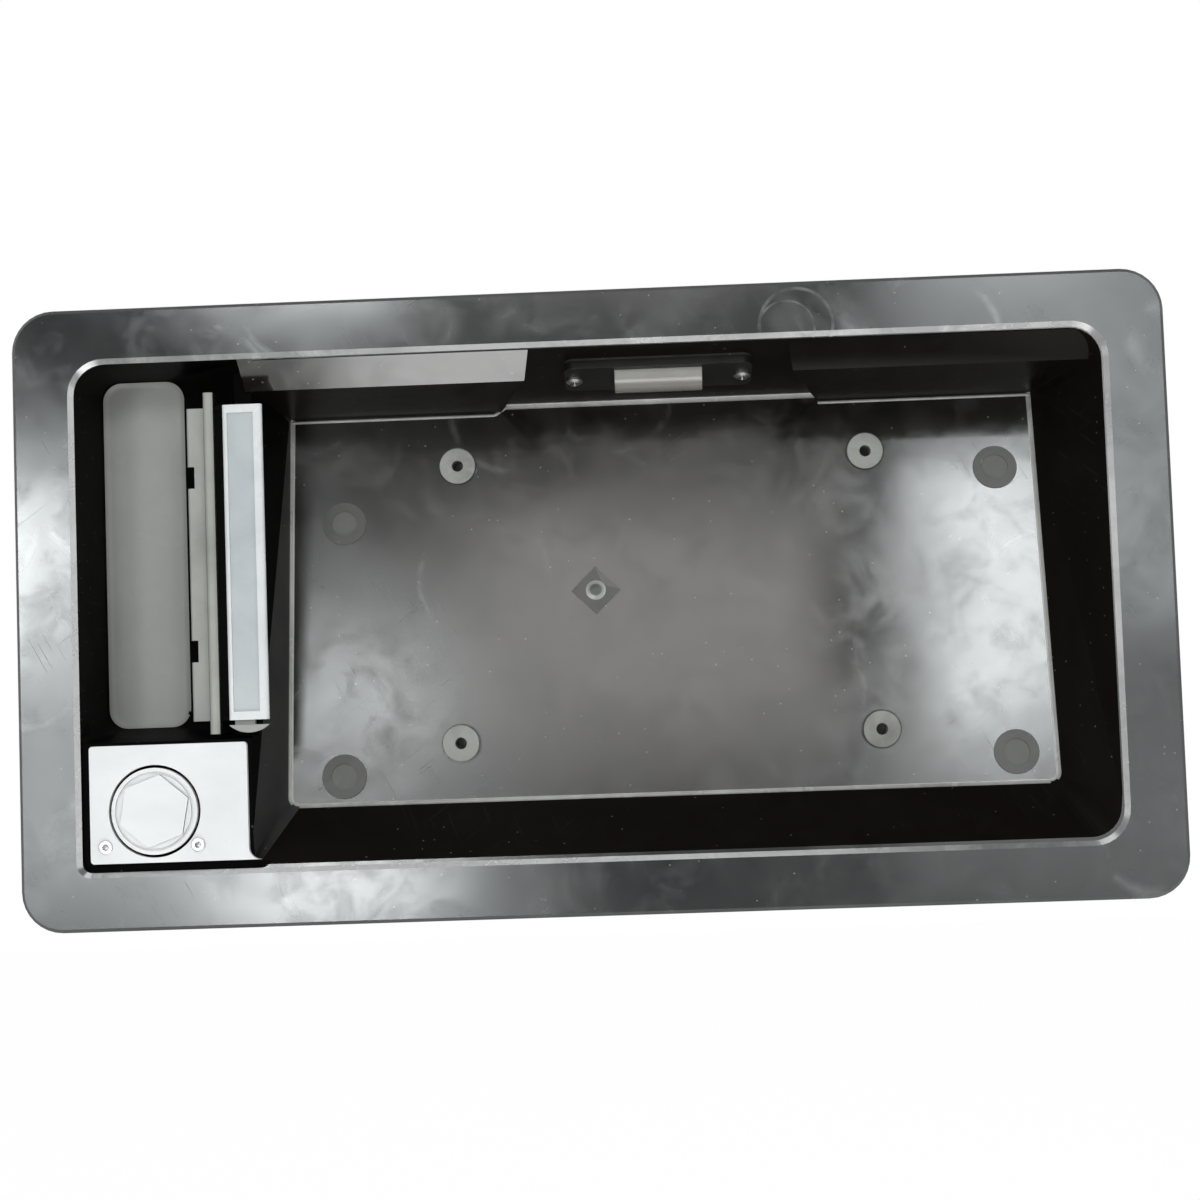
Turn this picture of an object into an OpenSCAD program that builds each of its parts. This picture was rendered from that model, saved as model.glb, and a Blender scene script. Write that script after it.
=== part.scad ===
// Rear van door handle moulded in one housing with the licence-plate pocket.
// Frame: x to the right, z up, y into the door. y = 0 is the door skin, the back of the foam gasket.
// Inside the modules a depth d counts from the front of the flange, so y = d - flange_t - gasket_t.

/* [Flange] */
// Overall width of the flange
flange_w = 472; // [450:1:500]
// Overall height of the flange
flange_h = 255; // [245:1:275]
// Corner radius of the flange
flange_r = 17; // [10:0.5:24]
// Thickness of the flange sheet
flange_t = 3; // [2:0.1:4]
// Rounded-over front edge of the flange
flange_edge = 1.5; // [0.6:0.1:2]
// Thickness of the skirt round the flange
skirt_t = 2.5; // [2:0.1:4]
// Gap between the skirt and the door skin
skirt_gap = 0.8; // [0.3:0.1:1.5]
// Width of the flange at the left and right of the opening
rim_side = 25; // [20:0.5:32]
// Width of the flange above the opening
rim_top = 22.8; // [18:0.2:30]
// Width of the flange below the opening
rim_bottom = 23.8; // [18:0.2:30]
// Corner radius of the opening
opening_r = 13; // [8:0.5:18]
// Corner radius of the opening beside the lock pad
pad_corner_r = 4; // [2:0.5:6]
// Bevel round the opening
rim_bevel = 2; // [1:0.1:2.4]

/* [Plate pocket] */
// Wall of the housing
wall = 3; // [2.4:0.1:3.6]
// Depth of the pocket floor at mid height of the flange
floor_depth = 48.5; // [46:0.5:56]
// Lean of the pocket floor, deeper at the top
floor_tilt = 10; // [6:0.5:12]
// Draw-in of the right wall from the opening to the floor
right_draw = 18; // [12:0.5:24]
// Draw-in of the bottom wall
bottom_draw = 21.7; // [16:0.1:24]
// Draw-in of the top wall
top_draw = 13.5; // [10:0.5:16]
// Draw-in of the left wall
left_draw = 9.5; // [8:0.5:12]
// Corner radius of the floor
floor_r = 5; // [4:0.5:8]
// Fillet between the floor and the walls
floor_fillet = 2.2; // [1:0.1:3]
// Depth of the crease in the brow
brow_crease = 12; // [10:0.5:16]
// Drop of the brow at its crease
brow_drop = 9.4; // [8:0.1:10.5]
// Drop of the brow where it meets the floor
brow_drop_back = 3.3; // [2:0.1:4.5]
// Length of the gap between the brows at the front
recess_front = 105; // [98:1:120]
// Length of the gap between the brows at the floor
recess_back = 140; // [125:1:150]

/* [Plate screws] */
// Distance between the screws of a row
plate_pitch_x = 177.8; // [170:0.1:190]
// Distance between the two rows
plate_pitch_z = 120.65; // [112:0.05:124]
// Height of the screw pattern's middle above the flange's middle
plate_rise = 3.7; // [0:0.1:6]
// Radius of the raised seat round a nut
seat_r = 8.3; // [7.5:0.1:10]
// Height of the raised seat above the floor at its lower edge
seat_proud = 0.1; // [0.05:0.05:0.5]
// Radius of the hole in a nut
nut_hole_r = 2.4; // [2:0.1:2.8]
// Radius of a nut's body
nut_body_r = 4.9; // [4.2:0.1:5.5]
// Thickness of a nut's collar
nut_collar_t = 1; // [0.8:0.1:1.6]
// Thickness of a nut's closed end
nut_end_t = 1; // [0.6:0.1:2]

/* [Finger pocket] */
// Width of the finger pocket at the front
finger_front_w = 77.9; // [75:0.1:82]
// Overlap of the two pockets at the front, where the handle lies
pocket_overlap = 8.9; // [8:0.1:10]
// Width of the finger pocket's floor
finger_floor_w = 36; // [32:0.5:38]
// Depth of the finger pocket
finger_depth = 45; // [42:0.5:46]
// Lean of the finger pocket's lower end
finger_end_draw = 5.6; // [3:0.1:8]
// Draft of the finger pocket's left and upper walls
finger_draft = 0.6; // [0.3:0.1:2]
// Corner radius of the finger pocket's floor
finger_r = 8.5; // [6:0.5:10]
// Fillet round the finger pocket's floor
finger_fillet = 3; // [2:0.5:5]
// Depth of the ridge between the pockets under the handle
crest_depth = 14; // [13:0.5:15]
// Thickness of the ridge
crest_t = 4; // [3:0.1:5]
// Thickness of the ribs in the fold behind the ridge
fold_rib_t = 2.5; // [2:0.1:3.5]
// Distance of the end ribs from the ends of the face bar
fold_rib_inset = 10.8; // [8:0.1:14]

/* [Handle] */
// Distance from the plate pocket's edge to the hinge axis
pivot_run = 2; // [1.5:0.1:2.5]
// Depth of the hinge axis
pivot_depth = 9; // [8.8:0.1:9.4]
// Swing of the handle
handle_travel = 24; // [16:1:24]
// Gap between the finger pocket's lower end and the face bar
bar_low_gap = 8.05; // [7:0.05:12]
// Gap between the face bar and the finger pocket's upper end
bar_top_gap = 18.65; // [16:0.05:24]
// Width of the face bar
bar_w = 16.4; // [15:0.1:17]
// Thickness of the face bar
bar_t = 2.8; // [2.4:0.1:3]
// Distance from the hinge axis to the back of the face bar
bar_lift = 4; // [3.9:0.05:4.2]
// Distance from the hinge axis to the face bar's right edge
bar_reach = 10.6; // [9.5:0.1:11]
// Length of the finger lip past each end of the face bar
lip_over = 5.45; // [3:0.05:5.6]
// Width of the finger lip
lip_w = 4.5; // [3.5:0.1:5]
// Width of the groove between the face bar and the lip
groove_w = 3.7; // [3:0.1:4.5]
// Depth of the finger lip
lip_h = 9.2; // [7:0.1:10]
// Width of the raised rim at the face bar's left edge
bar_rim_left = 2; // [1:0.1:3]
// Width of the raised rim at the face bar's right edge
bar_rim_right = 3.6; // [2:0.1:5]
// Width of the raised rim at the face bar's ends
bar_rim_end = 3.4; // [2:0.1:5]
// Depth of the panel inside the rim
bar_panel_depth = 0.6; // [0.3:0.1:1]
// Groove between the face bar and its lower end piece
tail_gap = 2; // [1.5:0.1:2.2]
// Height of the lower end piece
tail_h = 3.2; // [2:0.1:3.4]
// Reach of the finger paddle past the lip
paddle_reach = 8.3; // [6:0.1:10]
// Thickness of the finger paddle
paddle_t = 2.5; // [2:0.1:3]
// Height of the two notches in the paddle's edge
notch_h = 9; // [6:0.5:12]
// Depth of the two notches in the paddle's edge
notch_run = 3; // [2:0.5:4]
// Radius of the hinge pin
pin_r = 2; // [1.7:0.05:2.2]
// Distance between the two hinge ears
ear_pitch = 72; // [66:1:76]
// Thickness of a hinge ear
ear_t = 4; // [3:0.1:5]
// Thickness of a knuckle on the handle
knuckle_t = 3.6; // [3:0.1:4]
// Thickness of the handle's tail arm
arm_t = 4; // [3:0.1:4.5]
// Width of the tail arm
arm_w = 16; // [12:0.5:18]
// Rise of the tail arm above the handle's middle
arm_rise = 10.8; // [8:0.2:14]
// Wire diameter of the return spring
wire_d = 1; // [0.8:0.05:1.1]
// Turns of the return spring
spring_turns = 9; // [6:1:10]

/* [Bell crank] */
// Room between the finger pocket's back and the crank's seat
crank_room = 3; // [2.5:0.1:5]
// Thickness of the crank plate
crank_t = 2.5; // [2:0.1:3]
// Radius of the crank's hub
crank_hub_r = 8; // [7.5:0.1:9]
// Width of the crank's legs
crank_leg_w = 10; // [8:0.1:11]
// Length of the crank's rod leg
rod_leg = 30; // [26:0.5:34]
// Radius of the crank's drive stud
stud_r = 3; // [2.5:0.1:3.5]
// Radius of the shoulder that the crank turns on
shoulder_r = 4; // [3.5:0.1:4.5]
// Radius of the latch rod's bore
rod_bore_r = 2.1; // [1.8:0.05:2.4]

/* [Lock pad] */
// Height of the lock pad's recess
pad_h = 52.1; // [50:0.1:56]
// Depth of the lock pad's seat
pad_depth = 4; // [3.5:0.1:5]
// Thickness of the lock cover
cover_t = 2.5; // [2:0.1:3]
// Groove round the cover at the flange
cover_gap = 3.5; // [2:0.1:4]
// Flare of the cover's lower right corner
cover_flare = 5; // [2:0.5:6]
// Margin of the cover at the pockets' edges
cover_margin = 0.8; // [0.5:0.1:2]
// Radius of the blanking plug's face
plug_r = 17.6; // [16:0.1:19]
// Open ring round the plug, in the cover
plug_gap = 1.2; // [0.6:0.1:2]
// Distance from the cover's left edge to the plug's centre
plug_run = 26.5; // [24:0.5:32]
// Drop of the plug's centre below the cover's middle
plug_drop = 3.1; // [1:0.1:5]
// Radius of the plug's barrel
barrel_r = 14; // [13:0.1:14.5]
// Distance across the flats of the plug's raised hexagon
hex_flats = 26; // [22:0.5:26]
// Radius of a rivet's head
rivet_head_r = 2.9; // [2.4:0.1:3.2]

/* [Plate lamp] */
// Distance of the lamp from the pocket's front along the ceiling
lamp_run = 27.5; // [25:0.5:30]
// Length of the lamp's base
lamp_l = 78.5; // [76:0.5:84]
// Width of the lamp's base
lamp_w = 26; // [25:0.5:28]
// Thickness of the lamp's base
lamp_t = 3.5; // [3:0.1:4]
// Length of the clear lens
lens_l = 36.5; // [34:0.5:44]
// Outer radius of the lens
lens_r = 9.5; // [9:0.1:10]
// Wall of the lens
lens_t = 1.5; // [1.2:0.1:2]
// Distance of the lamp's screws from the ends of its base
lamp_screw_inset = 3.95; // [3.9:0.05:6]
// Radius of the bulb holder where it passes the ceiling
holder_r = 7.5; // [7:0.1:8]
// Thickness of the lamp's gasket
lamp_gasket_t = 0.8; // [0.5:0.1:1.2]

/* [Studs and gasket] */
// Thickness of the foam gasket
gasket_t = 3; // [2.5:0.1:4]
// Radius of a mounting stud
mount_stud_r = 3; // [2.5:0.1:4]
// Free length of a mounting stud
mount_stud_l = 18; // [14:1:26]
// Radius of a stud's boss
boss_r = 9.5; // [8:0.5:10]
// Height of a stud's boss behind the floor
boss_h = 12; // [9:0.5:16]
// Distance from the floor's right edge to the right studs
stud_right_run = 18; // [14:0.5:20]
// Distance from the floor's left edge to the left studs
stud_left_run = 24; // [20:0.5:28]
// Drop of the right upper stud below the floor's upper edge
stud_right_drop = 36.4; // [30:0.2:42]
// Drop of the left upper stud below the floor's upper edge
stud_left_drop = 51; // [46:0.5:56]
// Rise of the right lower stud above the floor's lower edge
stud_right_rise = 14; // [12:0.5:18]
// Rise of the left lower stud above the floor's lower edge
stud_left_rise = 13; // [12:0.5:18]

/* [Fits] */
// Radial clearance of a turning fit
run_fit = 0.05; // [0.03:0.01:0.1]
// Radial clearance of a fixed pin or screw
seat_fit = 0.03; // [0.02:0.01:0.06]
// Clearance between pieces that pass each other
clear = 0.4; // [0.3:0.05:0.5]

/* [Hidden] */
$fn = 64;
hull_fn = 32;

// Overlap that joins or cuts cleanly
bite = 1;
front_y = -flange_t - gasket_t;

// The opening in the flange
open_x0 = rim_side - flange_w / 2;
open_x1 = flange_w / 2 - rim_side;
open_z0 = rim_bottom - flange_h / 2;
open_z1 = flange_h / 2 - rim_top;

// The plate pocket
plate_x0 = open_x0 + finger_front_w - pocket_overlap;
floor_x0 = plate_x0 + left_draw;
floor_x1 = open_x1 - right_draw;
floor_z0 = open_z0 + bottom_draw;
floor_z1 = open_z1 - top_draw;
floor_mid_x = (floor_x0 + floor_x1) / 2;
function floor_d(z) = floor_depth + z * tan(floor_tilt);

// The walls run straight from the opening to the start of the floor's fillet. The block round a pocket starts
// inside the flange, and the left wall is taken along its upper part, which reaches the floor's upper corner.
back_start = flange_t / 2;
wall_end_d = floor_d(floor_z1) - floor_fillet * cos(floor_tilt);
wall_end_z = floor_z1 + floor_fillet * sin(floor_tilt);
top_slope = (open_z1 - wall_end_z) / wall_end_d;
left_slope = left_draw / wall_end_d;
left_back_slope = left_draw / (wall_end_d - back_start);
function ceiling_z(d) = open_z1 - top_slope * d;
function side_x(d) = plate_x0 + left_slope * d;
function side_back_x(d) = plate_x0 - wall + left_back_slope * (d - back_start);
ceiling_tilt = atan(top_slope);
brow_back = floor_d(floor_z1) + wall / 2;

// The finger pocket and the ridge
finger_z0 = open_z0 + pad_h;
finger_run = finger_front_w - finger_floor_w - finger_draft;
finger_end = finger_depth - finger_fillet;
finger_slope = finger_run / finger_end;
finger_back_slope = finger_run / (finger_end - back_start);
function slope_x(d) = open_x0 + finger_front_w - finger_slope * d;
function slope_back_x(d) = open_x0 + finger_front_w + wall - finger_back_slope * (d - back_start);
function slope_mid_x(d) = (slope_x(d) + slope_back_x(d)) / 2;
function side_mid_x(d) = (side_x(d) + side_back_x(d)) / 2;
bay_z0 = finger_z0 + 1.5;
bay_z1 = ceiling_z(crest_depth) - 1;

// The handle
pivot_x = plate_x0 - pivot_run;
bar_z0 = finger_z0 + bar_low_gap;
bar_z1 = open_z1 - bar_top_gap;
handle_z = (bar_z0 + bar_z1) / 2;
hub_r = bar_lift;
ear_r = bar_lift - clear;
web_t = 2.4;
end_cap_t = 2.2;
end_cap_r = 9;
bar_left = bar_reach - bar_w;
lip_left = bar_left - groove_w - lip_w;
lip_front = bar_lift + bar_t - 0.6;
groove_floor = bar_lift + 0.4;
knuckle_run = ear_t / 2 + clear + knuckle_t / 2;
arm_z = handle_z + arm_rise;
pin_head_t = 1.6;
pin_head_r = pin_r + 1.2;
pin_z1 = handle_z + ear_pitch / 2 + knuckle_run + knuckle_t / 2 + clear;
pin_z0 = handle_z - ear_pitch / 2 - knuckle_run - knuckle_t / 2 - clear;
clip_t = 0.8;
clip_groove_r = pin_r - 0.5;
clip_outer_r = pin_r + 1.6;
pin_tail = 2.4;

// The bell crank, level with the tip of the tail arm
crank_seat_d = finger_depth + wall + crank_room;
arm_l = crank_seat_d - 1 - pivot_depth;
crank_leg = arm_l;
crank_stud_z = arm_z + 2;
crank_x = pivot_x - arm_t / 2 - clear - stud_r;
crank_z = crank_stud_z - crank_leg;
crank_boss_r = 6;
crank_washer_t = 0.5;
crank_d = crank_seat_d + crank_washer_t;
crank_thread_r = 2.5;
crank_thread_l = 18;
crank_head_r = 7;
crank_head_t = 3;
stud_l = 8.5;
stud_tenon_r = stud_r - 0.5;
clip_body_r = 3.2;
clip_tail = 6;
rod_x = crank_x - rod_leg;

// The slot that the tail arm swings in, as deep as the arm stays beside the finger pocket's slope
arm_half = arm_t / 2 / cos(handle_travel);
slot_end = (slope_back_x(0) + clear - pivot_x + arm_half - pivot_depth * tan(handle_travel))
    / (finger_back_slope - tan(handle_travel));
slot_x0 = pivot_x - arm_half - (slot_end - pivot_depth) * tan(handle_travel) - 2 * clear;
slot_x1 = pivot_x + arm_t / 2 + clear;
slot_w = arm_w + 3;

// The lock pad
cover_x0 = open_x0 + cover_gap;
cover_x1 = plate_x0 - cover_margin;
cover_z0 = open_z0 + cover_gap;
cover_z1 = finger_z0 - cover_margin;
cover_front = pad_depth - cover_t;
cover_r = 1.5;
plug_x = cover_x0 + plug_run;
plug_z = (cover_z0 + cover_z1) / 2 - plug_drop;
plug_ring = 1;
plug_ring_in = 2;
plug_face = 0.4;
hex_rise = 0.8;
plug_clip_t = 1.2;
plug_clip_edge = 4;
plug_groove = 1.4;
pad_back = pad_depth + wall;
rivet_run = 6.2;
rivet_rise = 6.7;
rivet_x = [cover_x0 + rivet_run, plug_x + plug_r];
rivet_z = cover_z0 + rivet_rise;
rivet_shank_r = 1.6;
rivet_bore_r = 1;
rivet_head_t = 0.8;

// The plate screws, two rows of two
plate_x = [floor_mid_x - plate_pitch_x / 2, floor_mid_x + plate_pitch_x / 2];
plate_z = [plate_rise - plate_pitch_z / 2, plate_rise + plate_pitch_z / 2];
seat_rise = seat_r * tan(floor_tilt) + seat_proud;
seat_back = 4;
nut_barb_r = nut_body_r + 0.7;
nut_barb_t = 4;

// The mounting studs: right upper, right lower, left upper, left lower
stud_points = [
    [floor_x1 - stud_right_run, floor_z1 - stud_right_drop],
    [floor_x1 - stud_right_run, floor_z0 + stud_right_rise],
    [floor_x0 + stud_left_run, floor_z1 - stud_left_drop],
    [floor_x0 + stud_left_run, floor_z0 + stud_left_rise]
];
stud_sunk = 10;
stud_shank_r = mount_stud_r + 0.6;
mark_rise = 0.5;
mark_dimple_r = 5.5;
gate_run = 30;
gate_x = floor_mid_x - gate_run;
gate_z = 7;
gate_r = 4.5;
gate_pad = 15;

// The lamp, on the ceiling of the plate pocket
lamp_x = floor_mid_x;
lamp_pitch = lamp_l - 2 * lamp_screw_inset;
ceiling_boss_r = 15;
ceiling_boss_t = 4;
lens_flange = 2.2;
lens_flange_t = 1.2;
lamp_screw_r = 1.75;
lamp_screw_l = 12;
lamp_screw_head_r = 3.5;
lamp_screw_boss_r = 4;
holder_cap_r = 8.6;
holder_flange_r = 12;
holder_flange_t = 2.5;
holder_cap_l = 16;
holder_bore_r = 5.6;
seal_t = 1.5;
bulb_r = 4.8;
bulb_tip = 4;
bulb_base_w = 2.4;
terminal_t = 0.8;
terminal_w = 6.3;
terminal_l = 8;
terminal_pitch = 7;

// Moves a piece that is drawn in depths into the door's frame
module from_front() {
    translate([0, front_y, 0]) children();
}

// A flat shape drawn in x and z, from one depth over a thickness
module panel(d, t) {
    translate([0, d + t, 0]) rotate([90, 0, 0]) linear_extrude(t) children();
}

// A flat shape drawn in depth and z, along x
module beam(x0, x1) {
    translate([x0, 0, 0]) rotate([90, 0, 90]) linear_extrude(x1 - x0) children();
}

// A flat shape drawn in x and depth, along z
module column(z0, z1) {
    translate([0, 0, z0]) linear_extrude(z1 - z0) children();
}

// A round bar into the depth
module rod(x, z, d0, d1, r) {
    translate([x, d0, z]) rotate([-90, 0, 0]) cylinder(h = d1 - d0, r = r);
}

// A rectangle with round corners
module round_rect(x0, x1, z0, z1, r) {
    translate([x0 + r, z0]) square([x1 - x0 - 2 * r, z1 - z0]);
    translate([x0, z0 + r]) square([x1 - x0, z1 - z0 - 2 * r]);
    for (x = [x0 + r, x1 - r], z = [z0 + r, z1 - r]) translate([x, z]) circle(r);
}

// Four corner discs of a rectangle, with the radii of its lower left, lower right, upper right and upper left
module corner_discs(d, t, x0, x1, z0, z1, r) {
    corners = [
        [x0 + r[0], z0 + r[0]], [x1 - r[1], z0 + r[1]],
        [x1 - r[2], z1 - r[2]], [x0 + r[3], z1 - r[3]]
    ];
    for (i = [0:3]) {
        translate([corners[i][0], d, corners[i][1]]) rotate([90, 0, 0])
            cylinder(h = t, r = r[i], $fn = hull_fn);
    }
}

// The discs of a pocket's floor and of the fillet round it, drawn about the floor's plane
module floor_discs(grow, x0, x1, z0, z1, r, fillet) {
    for (a = [0:30:90]) {
        inset = (fillet + grow) * (1 - sin(a)) - grow;
        lift = grow - (fillet + grow) * (1 - cos(a));
        disc_r = r - inset;
        corner_discs(lift, bite, x0 + inset, x1 - inset, z0 + inset, z1 - inset,
            [disc_r, disc_r, disc_r, disc_r]);
    }
}

// Moves a shape to the leaning floor of the plate pocket
module on_floor(x, z) {
    translate([x, floor_d(z), z]) rotate([-floor_tilt, 0, 0]) children();
}

// Moves a shape to the lamp's place on the ceiling, z out of the pocket
module on_ceiling() {
    translate([lamp_x, lamp_run, ceiling_z(lamp_run)]) rotate([-ceiling_tilt, 0, 0]) children();
}

// The plate pocket's space, or the block round it where grow is a wall
module plate_pocket(grow) {
    front = grow > 0 ? back_start : 0;
    small = pad_corner_r / 2 + grow;
    large = opening_r + grow;
    hull() {
        corner_discs(front, bite, plate_x0 - grow, open_x1 + grow, open_z0 - grow, open_z1 + grow,
            [small, large, large, small]);
        on_floor(0, 0) floor_discs(grow, floor_x0, floor_x1,
            floor_z0 / cos(floor_tilt), floor_z1 / cos(floor_tilt), floor_r, floor_fillet);
    }
}

// The finger pocket's space, or the block round it
module finger_pocket(grow) {
    front = grow > 0 ? back_start : 0;
    small = pad_corner_r / 2 + grow;
    hull() {
        corner_discs(front, bite, open_x0 - grow, open_x0 + finger_front_w + grow,
            finger_z0 - grow, open_z1 + grow, [small, small, small, opening_r + grow]);
        translate([0, finger_depth, 0]) floor_discs(grow, open_x0 + finger_draft,
            open_x0 + finger_draft + finger_floor_w, finger_z0 + finger_end_draw,
            open_z1 - finger_draft, finger_r, finger_fillet);
    }
}

// Flange with its skirt, hollow behind for the gasket
module flange() {
    half_w = flange_w / 2;
    half_h = flange_h / 2;
    back = flange_t + gasket_t - skirt_gap;
    edge_r = flange_r - flange_edge;
    difference() {
        hull() {
            corner_discs(back, back - flange_edge, -half_w, half_w, -half_h, half_h,
                [flange_r, flange_r, flange_r, flange_r], $fn = 64);
            corner_discs(flange_edge, flange_edge, -half_w + flange_edge, half_w - flange_edge,
                -half_h + flange_edge, half_h - flange_edge, [edge_r, edge_r, edge_r, edge_r]);
        }
        panel(flange_t, gasket_t) round_rect(-half_w + skirt_t, half_w - skirt_t,
            -half_h + skirt_t, half_h - skirt_t, flange_r - skirt_t);
    }
}

// Bevel cut round the opening
module rim_cut() {
    hull() {
        corner_discs(0, bite, open_x0 - rim_bevel, open_x1 + rim_bevel, open_z0 - rim_bevel,
            open_z1 + rim_bevel, [pad_corner_r, opening_r, opening_r, opening_r] + [1, 1, 1, 1] * rim_bevel);
        corner_discs(rim_bevel, rim_bevel, open_x0, open_x1, open_z0, open_z1,
            [pad_corner_r, opening_r, opening_r, opening_r]);
    }
}

// Block that carries the lock pad, between the flange and both pockets
module pad_block() {
    panel(back_start, pad_back - back_start) round_rect(open_x0 - wall, side_mid_x(pad_back),
        open_z0 - wall, finger_z0 - wall / 2, pad_corner_r);
}

// Recess of the lock pad, open to both pockets
module pad_recess() {
    panel(-bite, pad_depth + bite) round_rect(open_x0, plate_x0 + 2 * pad_corner_r, open_z0,
        finger_z0 + 2 * pad_corner_r, pad_corner_r);
}

// Ridge between the pockets, flat on top where the handle lies
module crest() {
    back = crest_depth + crest_t;
    column(bay_z0 - bite, bay_z1 + bite) polygon([
        [slope_x(crest_depth), crest_depth], [side_x(crest_depth), crest_depth],
        [side_x(back), back], [slope_x(back), back]
    ]);
}

// Room for the handle in front of the ridge
module handle_bay() {
    column(bay_z0, bay_z1) translate([slope_x(crest_depth) - bar_w, -bite])
        square([2 * bar_w + side_x(crest_depth) - slope_x(crest_depth), crest_depth + bite]);
}

// A rib across the fold behind the ridge
module fold_rib(z) {
    front = crest_depth + crest_t / 2;
    back = finger_depth - 2;
    column(z - fold_rib_t / 2, z + fold_rib_t / 2) polygon([
        [slope_mid_x(front), front], [side_mid_x(front), front],
        [side_mid_x(back), back], [slope_mid_x(back), back]
    ]);
}

// Hinge ear on the ridge
module pin_ear(z) {
    column(z - ear_t / 2, z + ear_t / 2) translate([pivot_x, pivot_depth]) {
        circle(ear_r);
        translate([-ear_r, 0]) square([2 * ear_r, crest_depth - pivot_depth + crest_t / 2]);
    }
}

// Brows under the ceiling, left and right of the lamp
module brows() {
    back = brow_back;
    start = 2;
    intersection() {
        beam(plate_x0 - wall, open_x1 + wall) polygon([
            [start, ceiling_z(start) + wall / 3], [brow_crease, ceiling_z(brow_crease) - brow_drop],
            [back, ceiling_z(back) - brow_drop_back], [back, ceiling_z(back) + wall / 3]
        ]);
        column(0, flange_h / 2) {
            polygon([
                [side_mid_x(0), 0], [lamp_x - recess_front / 2, 0],
                [lamp_x - recess_back / 2, back], [side_mid_x(back), back]
            ]);
            polygon([
                [lamp_x + recess_front / 2, 0], [open_x1 + wall / 2, 0],
                [floor_x1 + wall / 2, back], [lamp_x + recess_back / 2, back]
            ]);
        }
    }
}

// Hollows behind the brows, open above, so that the wall stays even
module brow_cores() {
    start = brow_crease - wall;
    top = flange_h / 2;
    left_end = lamp_x - recess_back / 2 - wall;
    right_start = lamp_x + recess_back / 2 + wall;
    for (span = [[side_x(brow_back) + wall, left_end], [right_start, floor_x1 - wall]]) {
        beam(span[0], span[1]) polygon([
            [start, top], [start, ceiling_z(start) - brow_drop / 2 + wall],
            [brow_crease + wall / 2, ceiling_z(brow_crease) - brow_drop + 1.5 * wall],
            [brow_back - 2 * wall, ceiling_z(brow_back) - brow_drop_back + 1.5 * wall],
            [brow_back - 2 * wall, top]
        ]);
    }
}

// Boss for one mounting stud
module stud_boss(x, z) {
    rod(x, z, floor_d(z) + wall / 2, floor_d(z) + wall + boss_h, boss_r);
}

// Ribs behind the plate floor
module floor_ribs() {
    rib_h = 8;
    rib_t = 2;
    for (x = [-1, 0, 1] * plate_pitch_x / 4) {
        on_floor(floor_mid_x + x, 0) translate([-rib_t / 2, wall / 2, floor_z0 + 2 * floor_r])
            cube([rib_t, rib_h + wall / 2, floor_z1 - floor_z0 - 4 * floor_r]);
    }
    for (z = plate_z) {
        on_floor(floor_mid_x, z) translate([-plate_pitch_x / 2, wall / 2, -rib_t / 2])
            cube([plate_pitch_x, rib_h / 2 + wall / 2, rib_t]);
    }
}

// Tall boss that carries the bell crank
module crank_boss() {
    rod(crank_x, crank_z, crest_depth + crest_t / 2, crank_seat_d, crank_boss_r);
}

// What stands behind the pockets' walls
module back_features() {
    for (p = stud_points) stud_boss(p[0], p[1]);
    for (x = plate_x, z = plate_z) rod(x, z, floor_d(z), floor_d(z) + wall + seat_back, seat_r);
    floor_ribs();
    crank_boss();
    for (z = [crank_z, bar_z0 + fold_rib_inset, bar_z1 - fold_rib_inset]) fold_rib(z);
    on_ceiling() {
        translate([0, 0, wall / 2]) cylinder(h = ceiling_boss_t - wall / 2, r = ceiling_boss_r);
        for (x = [-1, 1] * lamp_pitch / 2) {
            translate([x, 0, wall / 2]) cylinder(h = lamp_screw_l - wall / 2, r = lamp_screw_boss_r);
        }
    }
}

// What stands on the front of the pockets' walls
module front_features() {
    crest();
    brows();
    for (z = [-1, 1] * ear_pitch / 2) pin_ear(handle_z + z);
    for (x = plate_x, z = plate_z) {
        rod(x, z, floor_d(z) - seat_rise, floor_d(z) + wall / 2, seat_r);
    }
    for (p = stud_points) on_floor(p[0], p[1]) difference() {
        rod(0, 0, -mark_rise, wall / 2, boss_r);
        rod(0, 0, -mark_rise - bite, 0, mark_dimple_r);
    }
    on_floor(gate_x, gate_z) panel(-mark_rise, wall / 2) rotate(45) square(gate_pad, center = true);
    on_floor(gate_x, gate_z) rotate([90, 0, 0]) rotate_extrude() polygon([
        [0, -wall / 2], [gate_r, -wall / 2], [gate_r, 0.4], [gate_r * 0.6, 1.2], [0, 1.6]
    ]);
}

// Holes for everything that is fitted to the housing
module housing_holes() {
    for (x = plate_x, z = plate_z) {
        rod(x, z, floor_d(z) - seat_rise - bite, floor_d(z) + wall + seat_back + bite, nut_body_r + run_fit);
    }
    for (p = stud_points) {
        end = floor_d(p[1]) + wall + boss_h;
        rod(p[0], p[1], end - stud_sunk, end + bite, stud_shank_r + seat_fit);
    }
    on_ceiling() {
        translate([0, 0, -bite]) cylinder(h = ceiling_boss_t + 2 * bite, r = holder_r + clear);
        for (x = [-1, 1] * lamp_pitch / 2) {
            translate([x, 0, -bite]) cylinder(h = lamp_screw_l - bite, r = lamp_screw_r + seat_fit);
        }
    }
    rod(plug_x, plug_z, pad_depth - bite, pad_back + bite, barrel_r + run_fit);
    for (x = rivet_x) rod(x, rivet_z, pad_depth - bite, pad_back + bite, rivet_shank_r + seat_fit);
    translate([pivot_x, pivot_depth, bay_z0]) cylinder(h = bay_z1 - bay_z0, r = pin_r + seat_fit);
    column(arm_z - slot_w / 2, arm_z + slot_w / 2) translate([slot_x0, crest_depth - bite])
        square([slot_x1 - slot_x0, slot_end + 2 - crest_depth + bite]);
    rod(crank_x, crank_z, crank_seat_d - crank_thread_l - bite, crank_seat_d + bite,
        crank_thread_r + seat_fit);
}

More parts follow.
